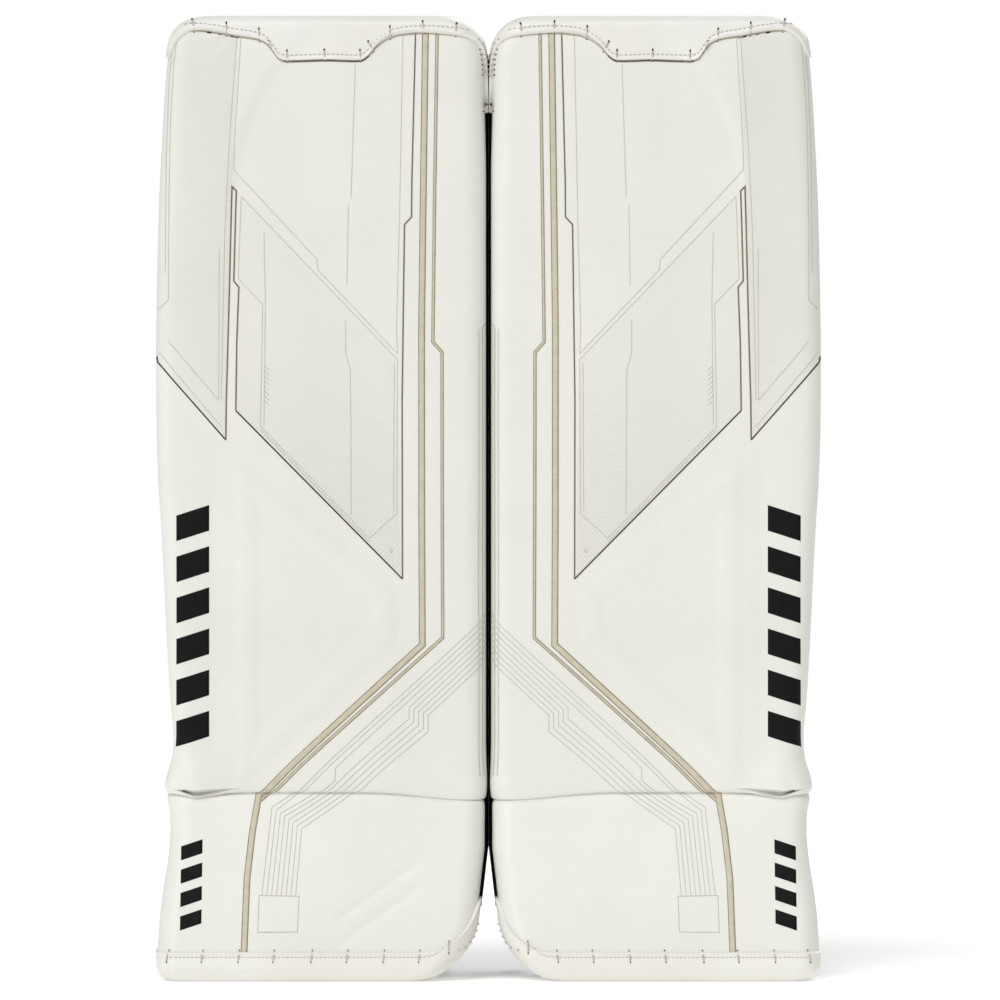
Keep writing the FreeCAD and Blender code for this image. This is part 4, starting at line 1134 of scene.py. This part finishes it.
for side in SIDES:
    painted_crease_shadow(side)
    place(binding(f"{side}_cap", side, cap_low, CROWN, 0.2), side, "thigh", "white_binding", "top_cap")
    place(binding(f"{side}_toe", side, toe_high, SOLE), side, "boot", "white_binding", "toe_binding")

    laces = Shape()
    for x in CAP_TIES:
        tie(laces, (x, cap_edge_at(x)), (0.6 if x in NOTCH_CORNER_TIES else 0.05, 1.0), 7.2, 1.3)
    side_lacing(laces, CAP_SIDE_LINE, 4.4, (-1.0, 0.35))
    tie(laces, (0.8, 741), (0.0, 1.0), 3.2, 1.6)
    piece = build(f"{side}_cap_ties", side, laces, [lace_cord, painted_hole_shade])
    place(piece, side, "thigh", "lace", "top_cap_laces")

    laces = Shape()
    for x in TOE_TIES:
        tie(laces, (x, toe_edge_at(x, 27.0)), (0.12, -1.0), 8.0, 1.2, (0.55, 0.8))
    side_lacing(laces, TOE_SIDE_LINE, 5.6, (-1.0, -0.8))
    piece = build(f"{side}_toe_ties", side, laces, [lace_cord, painted_hole_shade])
    place(piece, side, "boot", "lace", "toe_laces")

    seams = Shape()
    stitches(seams, [(x, cap_edge_at(x) + 4.2) for x in np.arange(14, 258, 3.0)], 2.4, 0.34)
    # painted shadow under the cap's rim, built into the same piece as the stitches
    edge_shadow(seams)
    piece = build(f"{side}_cap_stitching", side, seams, [stitch_grey, rim_shadow, painted_hole_shade])
    place(piece, side, "thigh", "lace")

    seams = Shape()
    stitches(seams, [(x, toe_edge_at(x, 20.0) - 4.4) for x in np.arange(34, 270, 3.0)], 2.0, 0.3)
    place(build(f"{side}_toe_stitching", side, seams, [stitch_grey]), side, "boot", "lace")


# ---------------------------------------------------------------- padded pieces behind the face

VOXEL = 4.0
PRESSURE = 4.0
FRAMES = 20
SHRINK = 0.9
LEG_MIDDLE = 138.0
LIP = 0.012
SEAM_REACH = 2.6
BASE_DEPTH = 66.5


def vectors_of(items, key):
    """One vector for each point of a mesh, as rows of an array."""
    flat = np.zeros(len(items) * 3)
    items.foreach_get(key, flat)
    return flat.reshape(-1, 3)


def pad_points(mesh):
    """A left pad mesh's points in the pad's own millimetres."""
    return (vectors_of(mesh.vertices, "co") - (INNER_X, FACE_Y, 0)) / MM


def move_in(mesh, depth):
    """Moves each point in along its normal, by millimetres."""
    normals = vectors_of(mesh.vertices, "normal")
    points = vectors_of(mesh.vertices, "co") - normals * np.reshape(depth, (-1, 1)) * MM
    mesh.vertices.foreach_set("co", points.ravel())
    mesh.update()


def remeshed(node):
    """A closed, evenly divided copy of a left CAD node, a little smaller."""
    piece = bpy.data.objects.new(f"{node}_pad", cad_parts[node].data.copy())
    bpy.context.scene.collection.objects.link(piece)
    piece.data.materials.clear()
    even = piece.modifiers.new("even", "REMESH")
    even.mode = "VOXEL"
    even.voxel_size = VOXEL * MM
    settled = bpy.data.meshes.new_from_object(piece.evaluated_get(bpy.context.evaluated_depsgraph_get()))
    piece.modifiers.clear()
    piece.data = settled
    move_in(settled, SHRINK)
    return piece


def puff(piece, held, limit, slack):
    """Blows the piece up a little with a cloth simulation, tight where the seams hold it."""
    points = vectors_of(piece.data.vertices, "co")
    seams = piece.vertex_groups.new(name="seams")
    seams.add([int(i) for i in np.nonzero(held)[0]], 1.0, "REPLACE")
    cloth = piece.modifiers.new("cloth", "CLOTH")
    cloth.settings.use_pressure = True
    cloth.settings.uniform_pressure_force = PRESSURE
    cloth.settings.quality = 5
    cloth.settings.effector_weights.gravity = 0
    cloth.settings.shrink_min = -slack
    cloth.settings.vertex_group_mass = "seams"
    cloth.collision_settings.use_collision = False
    for step in range(1, FRAMES + 1):
        bpy.context.scene.frame_set(step)
    blown = piece.evaluated_get(bpy.context.evaluated_depsgraph_get()).to_mesh()
    moved = vectors_of(blown.vertices, "co") - points
    piece.modifiers.clear()
    bpy.context.scene.frame_set(1)
    far = np.linalg.norm(moved, axis=1)
    share = np.where(far > 0, np.tanh(far / (limit * MM)) * limit * MM / np.maximum(far, 1e-9), 0)
    piece.data.vertices.foreach_set("co", (points + moved * share[:, None]).ravel())
    piece.data.update()


def line_leg_side(mesh):
    """Gives a wing's faces that look towards the leg the grey liner, but not the edges of its lip."""
    depth = max(v.co.y for v in mesh.vertices) - LIP
    for face in mesh.polygons:
        towards = math.copysign(1.0, LEG_MIDDLE - (face.center.x - INNER_X) / MM)
        wall = face.normal.x * towards > 0.5 and face.center.y < depth
        lip = face.normal.y < -0.5 and face.center.y > BASE_DEPTH * MM + FACE_Y + LIP
        if wall or lip:
            face.material_index = 1


def finish_pad(piece, body, node, slot):
    """Gives a padded piece its smooth surface and its body, and copies it to the right pad."""
    mesh = piece.data
    mesh.polygons.foreach_set("use_smooth", [True] * len(mesh.polygons))
    add_rest(mesh, pad_points(mesh))
    twin = bpy.data.objects.new(piece.name.replace("left_", "right_"), mesh.copy())
    bpy.context.scene.collection.objects.link(twin)
    twin.data.transform(Matrix.Scale(-1, 4, (1, 0, 0)))
    twin.data.flip_normals()
    for side, each in (("left", piece), ("right", twin)):
        round_off = each.modifiers.new("round_off", "SUBSURF")
        round_off.levels = 1
        round_off.render_levels = 1
        place(each, side, body, slot, node)


def near_any(values, places):
    held = np.zeros(len(values), bool)
    for place_at in places:
        held |= np.abs(values - place_at) < SEAM_REACH
    return held


def padded_piece(node, body, covering, limit, slack, rows=(), columns=(), groove=1.0):
    """One padded piece, tight along its sewn channels and where it lies on the pad's back.

    covering is its slot and materials. rows and columns are the channels' heights and places
    across, and groove how deep they are.
    """
    slot, materials = covering
    piece = remeshed(f"left_{node}")
    for material in materials:
        piece.data.materials.append(material)
    if len(materials) > 1:
        line_leg_side(piece.data)
    points = pad_points(piece.data)
    held = near_any(points[:, 2], rows) | near_any(points[:, 0], columns)
    move_in(piece.data, held * groove)
    held |= (points[:, 1] < BASE_DEPTH) & ("boot" not in node)
    puff(piece, held, limit, slack)
    finish_pad(piece, body, node, slot)
    return piece


liner = ("grey_liner", [grey_liner])
lined = ("black_fabric", [black_fabric, grey_liner])
nylon = ("black_fabric", [black_fabric])
CRADLE_ROWS = (218, 266, 314, 362, 410)
KNEE_ROWS = (529, 581)
CRADLE_COLUMNS = (98.5, 176.5)
KNEE_COLUMNS = (122.0, 179.0)
WING_ROWS = (247, 299, 351, 403)
KNEE_WING_ROWS = (535, 580)
STACK_ROWS = (538.5, 581.5)
BOOT_ROWS = (44, 88)

shin_pad = padded_piece("shin_cradle", "shin", liner, 6, 0.05, CRADLE_ROWS, CRADLE_COLUMNS, 2.0)
knee_pad = padded_piece("knee_cradle", "shin", liner, 6, 0.05, KNEE_ROWS, KNEE_COLUMNS, 2.0)
inner_wing = padded_piece("inner_calf_wing", "shin", lined, 3.5, 0.03, WING_ROWS)
outer_wing = padded_piece("outer_calf_wing", "calf_wing", lined, 3.5, 0.03, WING_ROWS)
knee_side = padded_piece("outer_knee_wing", "knee_wing", lined, 3.5, 0.03, KNEE_WING_ROWS)
stack = padded_piece("knee_stack", "knee_block", nylon, 3.5, 0.04, STACK_ROWS, (), 3.0)
padded_piece("knee_landing_cap", "knee_block", liner, 2, 0.02)
inner_boot = padded_piece("inner_boot_wing", "boot", lined, 3.0, 0.03, BOOT_ROWS)
outer_boot = padded_piece("outer_boot_wing", "boot", lined, 3.0, 0.03, BOOT_ROWS)


# ---------------------------------------------------------------- seams on the padded pieces

def surface_line(tree, start, end, direction):
    """Points 0.5 mm apart on the piece's surface, seen along the direction, in pad millimetres."""
    start = np.array(start, float)
    end = np.array(end, float)
    hits = []
    for t in np.linspace(0, 1, max(2, int(np.linalg.norm(end - start) / 0.5))):
        at = (start + (end - start) * t) * MM + (INNER_X, FACE_Y, 0)
        spot, normal, _, _ = tree.ray_cast(Vector(at), Vector(direction))
        if spot is not None:
            hits.append((np.array(spot + normal * 0.15 * MM) - (INNER_X, FACE_Y, 0)) / MM)
    return np.array(hits)


def seam(shape, tree, start, end, direction):
    """A row of stitches on a padded piece, along its surface from start to end."""
    length, gap = (3.2, 1.8)
    line = surface_line(tree, start, end, direction)
    if len(line) < 12:
        return
    run = run_of(line)
    sink = np.array(direction, float)
    for at in np.arange(1.0, run[-1] - length, length + gap):
        path = places_at(line, run, np.linspace(at, at + length, 5))
        shape.tube(path + np.array([0.5, 0, -0.05, 0, 0.5])[:, None] * sink, 0.45, 6)


def seam_piece(node, body, padded, thread, rows):
    """Stitch rows for one padded piece, on both pads."""
    tree = BVHTree.FromObject(padded, bpy.context.evaluated_depsgraph_get())
    for side in SIDES:
        shape = Shape()
        for start, end, direction in rows:
            seam(shape, tree, start, end, direction)
        place(build(f"{side}_{node}_seams", side, shape, [thread]), side, body, "lace")


CLEAR_BEHIND = 220.0
BEHIND = (0, -1, 0)
FROM_OUTSIDE = (-1, 0, 0)
FROM_INSIDE = (1, 0, 0)


def level(heights, x0, x1):
    """Level seams across a piece, found from behind it."""
    return [((x0, CLEAR_BEHIND, z), (x1, CLEAR_BEHIND, z), BEHIND) for z in heights]


def upright(places, z0, z1):
    """Upright seams on a piece, found from behind it."""
    return [((x, CLEAR_BEHIND, z0), (x, CLEAR_BEHIND, z1), BEHIND) for x in places]


def on_side(heights, x, y0, y1, direction=FROM_OUTSIDE):
    """Level seams along a piece's side, found from x."""
    return [((x, y0, z), (x, y1, z), direction) for z in heights]


STACK_EDGES = [z + edge for z in STACK_ROWS for edge in (-4.5, 4.5)]
cradle_seams = level(CRADLE_ROWS, 64, 211) + upright(CRADLE_COLUMNS, 174, 466)
knee_seams = level(KNEE_ROWS, 70, 231) + upright(KNEE_COLUMNS, 484, 628)
outer_seams = on_side(WING_ROWS, 300, 70, 150) + level(WING_ROWS, 205, 250)
inner_seams = on_side(WING_ROWS, -40, 70, 150, FROM_INSIDE) + level(WING_ROWS, 22, 67)
knee_wing_seams = on_side(KNEE_WING_ROWS, 300, 70, 132) + level(KNEE_WING_ROWS, 218, 250)
outer_boot_seams = on_side(BOOT_ROWS, 300, 45, 108)
inner_boot_seams = on_side(BOOT_ROWS, -40, 45, 108, FROM_INSIDE)
stack_seams = level(STACK_EDGES, 12, 56) + on_side(STACK_EDGES, 120, 68, 136)

bpy.context.view_layer.update()
seam_piece("shin_cradle", "shin", shin_pad, piping_black, cradle_seams)
seam_piece("knee_cradle", "shin", knee_pad, piping_black, knee_seams)
seam_piece("outer_calf_wing", "calf_wing", outer_wing, stitch_silver, outer_seams)
seam_piece("inner_calf_wing", "shin", inner_wing, stitch_silver, inner_seams)
seam_piece("outer_knee_wing", "knee_wing", knee_side, stitch_silver, knee_wing_seams)
seam_piece("outer_boot_wing", "boot", outer_boot, stitch_silver, outer_boot_seams)
seam_piece("inner_boot_wing", "boot", inner_boot, stitch_silver, inner_boot_seams)
seam_piece("knee_stack", "knee_block", stack, stitch_silver, stack_seams)


# ---------------------------------------------------------------- piping, straps and tabs

PIPING_SINK = 0.5
PIPING_RADIUS = 2.1
WING_BEND = 39.0
REAR_CORNER = 38.0
WELT_RADIUS = 3.7
WELT_CENTRE = -0.295


def wing_border(x, toward, depth, lip, bottom, top):
    """A wing's open edge: back along its foot, round the bend, up behind the leg and forward again."""
    middle = depth - 6.0
    plan = [(x, y) for y in np.linspace(66.0, middle - WING_BEND, 14)]
    for i in range(1, 13):
        a = math.radians(90 * i / 12)
        plan.append((x + toward * WING_BEND * (1 - math.cos(a)), middle - WING_BEND * (1 - math.sin(a))))
    plan += [(across, middle) for across in np.linspace(x + toward * WING_BEND, x + toward * lip, 6)[1:]]
    foot = []
    for across, y in plan:
        past = min(max(y - (depth - REAR_CORNER), 0), REAR_CORNER)
        foot.append((across, y, PIPING_SINK + REAR_CORNER - math.sqrt(REAR_CORNER**2 - past**2)))
    tip, y, inset = foot[-1]
    border = [(across, y, bottom + rise) for across, y, rise in foot]
    border += [(tip - toward * PIPING_SINK, y, z) for z in np.linspace(bottom + inset, top - inset, 20)[1:-1]]
    border += [(across, y, top - rise) for across, y, rise in reversed(foot)]
    return border


def boot_wing_border(x, bottom):
    """A boot wing's open edge, rounded at its two rear corners."""
    points = [(12.0, bottom)]
    for i in range(7):
        a = math.radians(90 * i / 6)
        points.append((104 + 8 * math.sin(a), bottom + 8 - 8 * math.cos(a)))
    for i in range(13):
        a = math.radians(90 * i / 12)
        points.append((74 + 38 * math.cos(a), 94 + 38 * math.sin(a)))
    points.append((60.0, 132))
    return [(x, y, z) for y, z in points]


def piping(side, name, body, border):
    """A piped edge: a covered cord sewn in along the border."""
    border = np.array(border, float)
    run = run_of(border)
    shape = Shape()
    shape.tube(places_at(border, run, np.linspace(0, run[-1], int(run[-1] / 3.0) + 1)), PIPING_RADIUS)
    place(build(f"{side}_{name}_piping", side, shape, [piping_black]), side, body, "black_fabric")


def band(shape, x0, x1, y, z0, z1, thickness, slot=0):
    """A flat strap across the back of the leg, with thicker woven edges."""
    half = thickness / 2
    middle = (z0 + z1) / 2
    reach = (z1 - z0) / 2
    edge = [(-1, -0.6), (-0.97, -1), (-0.9, -1), (-0.86, -0.75)]
    near = edge + [(-u, w) for u, w in reversed(edge)]
    section = near + [(u, -w) for u, w in reversed(near)]
    rows = []
    for x in np.linspace(x0, x1, 61):
        rows.append([(x, y + half + w * half, middle + u * reach) for u, w in section])
    shape.loft(rows, slot)


def stitch_line(shape, start, end):
    """A straight row of stitches between two points in space."""
    length, gap = (3.0, 1.5)
    start = np.array(start, float)
    way = np.array(end, float) - start
    total = np.linalg.norm(way)
    at = 0.0
    while at + length <= total + 0.01:
        path = [start + way / total * (at + length * k / 3) for k in range(4)]
        path[0][1] -= 0.3
        path[3][1] -= 0.3
        shape.tube(path, 0.4, 5, 1)
        at += length + gap


def sewn_box(shape, x0, x1, z0, z1, y):
    """A box of stitches with a cross in it, where a strap is sewn down."""
    corners = [(x0, y, z0), (x1, y, z0), (x1, y, z1), (x0, y, z1)]
    for a, b in ((0, 1), (1, 2), (2, 3), (3, 0), (0, 2), (1, 3)):
        stitch_line(shape, corners[a], corners[b])


def strap_piece(side, name, body, x0, x1, y, z0, z1):
    """A webbing strap with a strip of fastener on it, sewn down at one end."""
    shape = Shape()
    band(shape, x0, x1, y, z0, z1, 3.0)
    sewn_box(shape, x1 - 26, x1 - 6, z0 + 5, z1 - 5, y + 2.9)
    band(shape, x0 + 34, x0 + 96, y + 2.6, z0 + 4, z1 - 4, 1.1, 2)
    piece = build(f"{side}_{name}_band", side, shape, [webbing, stitch_silver, loop_fastener])
    place(piece, side, body, "webbing", name)


def tab_piece(side, name, body, x0, x1, y, z0, z1):
    """A moulded pull tab: rounded, with grip ridges across it."""
    shape = Shape()
    middle = (z0 + z1) / 2
    half = (z1 - z0) / 2
    corner = 8.0
    rows = []
    for x in np.linspace(x0, x1, 57):
        from_end = min(x - x0, x1 - x)
        reach = half - corner + math.sqrt(max(corner**2 - max(corner - from_end, 0) ** 2, 0))
        ridge = 0.35 * max(0.0, math.sin(2 * math.pi * (x - x0 - 4) / 4.6)) if x0 + 4 < x < x0 + 18 else 0.0
        thick = 1.5 * min(1.0, 0.45 + from_end / 2)
        section = []
        for u, w in ((-1, 0.0), (-1, 0.6), (-0.95, 1.0), (0, 1.0), (0.95, 1.0), (1, 0.6), (1, 0.0), (0, 0.0)):
            grip = ridge if abs(u) < 0.9 and w > 0.9 else 0.0
            section.append((x, y + w * thick + grip, middle + u * reach))
        rows.append(section)
    shape.loft(rows)
    sewn_box(shape, x1 - 9, x1 - 3, middle - half * 0.7, middle + half * 0.7, y + 1.6)
    piece = build(f"{side}_{name}_grip", side, shape, [tab_rubber, stitch_silver])
    fix_normals(piece)
    place(piece, side, body, "tab_rubber", name)


def gap_welt_painted_shade(side, part):
    """The black roll along the rear inner edge, which closes the gap between the pads: partly the pad's black
    edging, partly painted shade standing for the deep shadow in the gap.
    """
    low, high = (60.0, CUT) if part == "lower" else (CUT, 790.0)
    shape = Shape()
    path = [(inner_edge(z) + WELT_CENTRE, back_y(z) - 4.0, z) for z in np.arange(low, high + 0.1, 2.0)]
    shape.tube(path, WELT_RADIUS, 32)
    bend(build(f"{side}_{part}_welt", side, shape, [black_side]))


def back_stitch(shape, start, end):
    """One stitch on the pad's back, between two (across, height) places."""
    path = []
    for t, lift in ((0, -0.4), (0.25, 0.25), (0.5, 0.35), (0.75, 0.25), (1, -0.4)):
        x = start[0] + (end[0] - start[0]) * t
        z = start[1] + (end[1] - start[1]) * t
        s = z + crease_drop(x)
        share = fold_size(x) * 0.45
        path.append((x, float(back_y(z)) + lift + fold_out(s) * share, z + fold_rise(s) * share))
    shape.tube(path, 0.45, 5)


def back_details(side, part):
    """The piped rear edges and the sewn lines on the pad's black back."""
    low, high = (40.0, CUT) if part == "lower" else (CUT, 794.0)
    cord = Shape()
    heights = np.arange(low, high + 0.1, 2.0)
    cord.tube([(outer_x(z) - 1.8, back_y(z) - 2.2, z + fold_rise(z) * 0.4) for z in heights], PIPING_RADIUS)
    bend(build(f"{side}_{part}_rear_piping", side, cord, [piping_black]))
    threads = Shape()
    for x in (12.0, 254.0):
        for z in np.arange(low + 2, high - 5, 5.2):
            back_stitch(threads, (x, z), (x, z + 3.4))
    for z in ((172.0, 476.0) if part == "lower" else (638.0, 652.0)):
        for x in np.arange(14, 250, 5.2):
            back_stitch(threads, (x, z), (x + 3.4, z))
    bend(build(f"{side}_{part}_back_seams", side, threads, [stitch_silver]))


CAD_FINISH = {
    "toe_bridge": bridge_webbing,
    "toe_bridge_eyelets": eyelet_metal,
    "shin_edge_guard": black_guard,
    "thigh_edge_guard": black_guard,
}

for side in SIDES:
    back_details(side, "lower")
    back_details(side, "upper")
    piping(side, "inner_calf_wing", "shin", wing_border(14, 1, 168, 56, 195, 455))
    piping(side, "outer_calf_wing", "calf_wing", wing_border(258, -1, 168, 56, 195, 455))
    piping(side, "outer_knee_wing", "knee_wing", wing_border(258, -1, 150, 43, 490, 625))
    piping(side, "inner_boot_wing", "boot", boot_wing_border(28, 12))
    piping(side, "outer_boot_wing", "boot", boot_wing_border(246, 2.3))
    strap_piece(side, "calf_strap", "calf_closure", 24, 236, 169.5, 300, 350)
    strap_piece(side, "knee_strap", "knee_closure", 24, 236, 151.5, 540, 578)
    strap_piece(side, "boot_strap", "instep_strap", 24, 248, 113.5, 80, 110)
    tab_piece(side, "calf_strap_tab", "calf_closure", 18, 46, 172.5, 299, 351)
    tab_piece(side, "knee_strap_tab", "knee_closure", 18, 46, 154.5, 539, 579)
    gap_welt_painted_shade(side, "lower")
    gap_welt_painted_shade(side, "upper")
    for node, material in CAD_FINISH.items():
        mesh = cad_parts[f"{side}_{node}"].data
        mesh.materials.clear()
        mesh.materials.append(material)


# ---------------------------------------------------------------- camera, light and floor

FILL = 0.388


def make_camera():
    """A long lens straight in front, level with the middle of the pads."""
    data = bpy.data.cameras.new("camera")
    camera = bpy.data.objects.new("camera", data)
    bpy.context.scene.collection.objects.link(camera)
    distance = 6.0
    field = 0.852
    data.sensor_width = 36.0
    data.lens = data.sensor_width * distance / field
    camera.location = (0.0098, FACE_Y - distance, 0.4063)
    camera.rotation_euler = (math.radians(90), 0, 0)
    bpy.context.scene.camera = camera


def make_sun(name, direction, strength):
    """Light from one direction, spread wide so that its shadows are soft."""
    data = bpy.data.lights.new(name, "SUN")
    data.energy = strength
    data.angle = math.radians(40)
    light = bpy.data.objects.new(name, data)
    bpy.context.scene.collection.objects.link(light)
    light.rotation_euler = Vector(direction).to_track_quat("Z", "Y").to_euler()


def make_floor():
    """A plain pale studio floor, a shallow disc."""
    shape = bmesh.new()
    bmesh.ops.create_circle(shape, cap_ends=True, cap_tris=False, segments=96, radius=9.0)
    mesh = bpy.data.meshes.new("floor")
    shape.to_mesh(mesh)
    shape.free()
    floor = bpy.data.objects.new("floor", mesh)
    bpy.context.scene.collection.objects.link(floor)
    surface = Surface("floor_paint", 0.8, False, Emission_Color=(1.0, 1.0, 1.0, 1.0), Emission_Strength=0.26)
    surface.colour(surface.mix(surface.noise(0.6), (247, 247, 246), (243, 243, 242)))
    mesh.materials.append(surface.material)
    floor.location.z = -0.0005


def make_studio():
    """White surroundings, and soft light from high in front, weaker from the left, and from behind."""
    world = bpy.data.worlds.new("studio")
    world.use_nodes = True
    tree = world.node_tree
    background = tree.nodes["Background"]
    background.inputs["Color"].default_value = (1.0, 1.0, 1.0, 1.0)
    seen = tree.nodes.new("ShaderNodeLightPath").outputs["Is Camera Ray"]
    strength = tree.nodes.new("ShaderNodeMapRange")
    strength.inputs["To Min"].default_value = FILL
    strength.inputs["To Max"].default_value = 1.0
    tree.links.new(seen, strength.inputs["Value"])
    tree.links.new(strength.outputs["Result"], background.inputs["Strength"])
    bpy.context.scene.world = world
    bpy.context.scene.view_settings.view_transform = "Standard"
    bpy.context.scene.view_settings.look = "None"
    make_sun("sun_high", (-0.3, -0.6, 0.74), 1.65)
    make_sun("sun_left", (-0.8, -0.5, 0.25), 0.25)
    make_sun("sun_back", (0.4, 0.7, 0.6), 1.2)


make_camera()
make_studio()
make_floor()
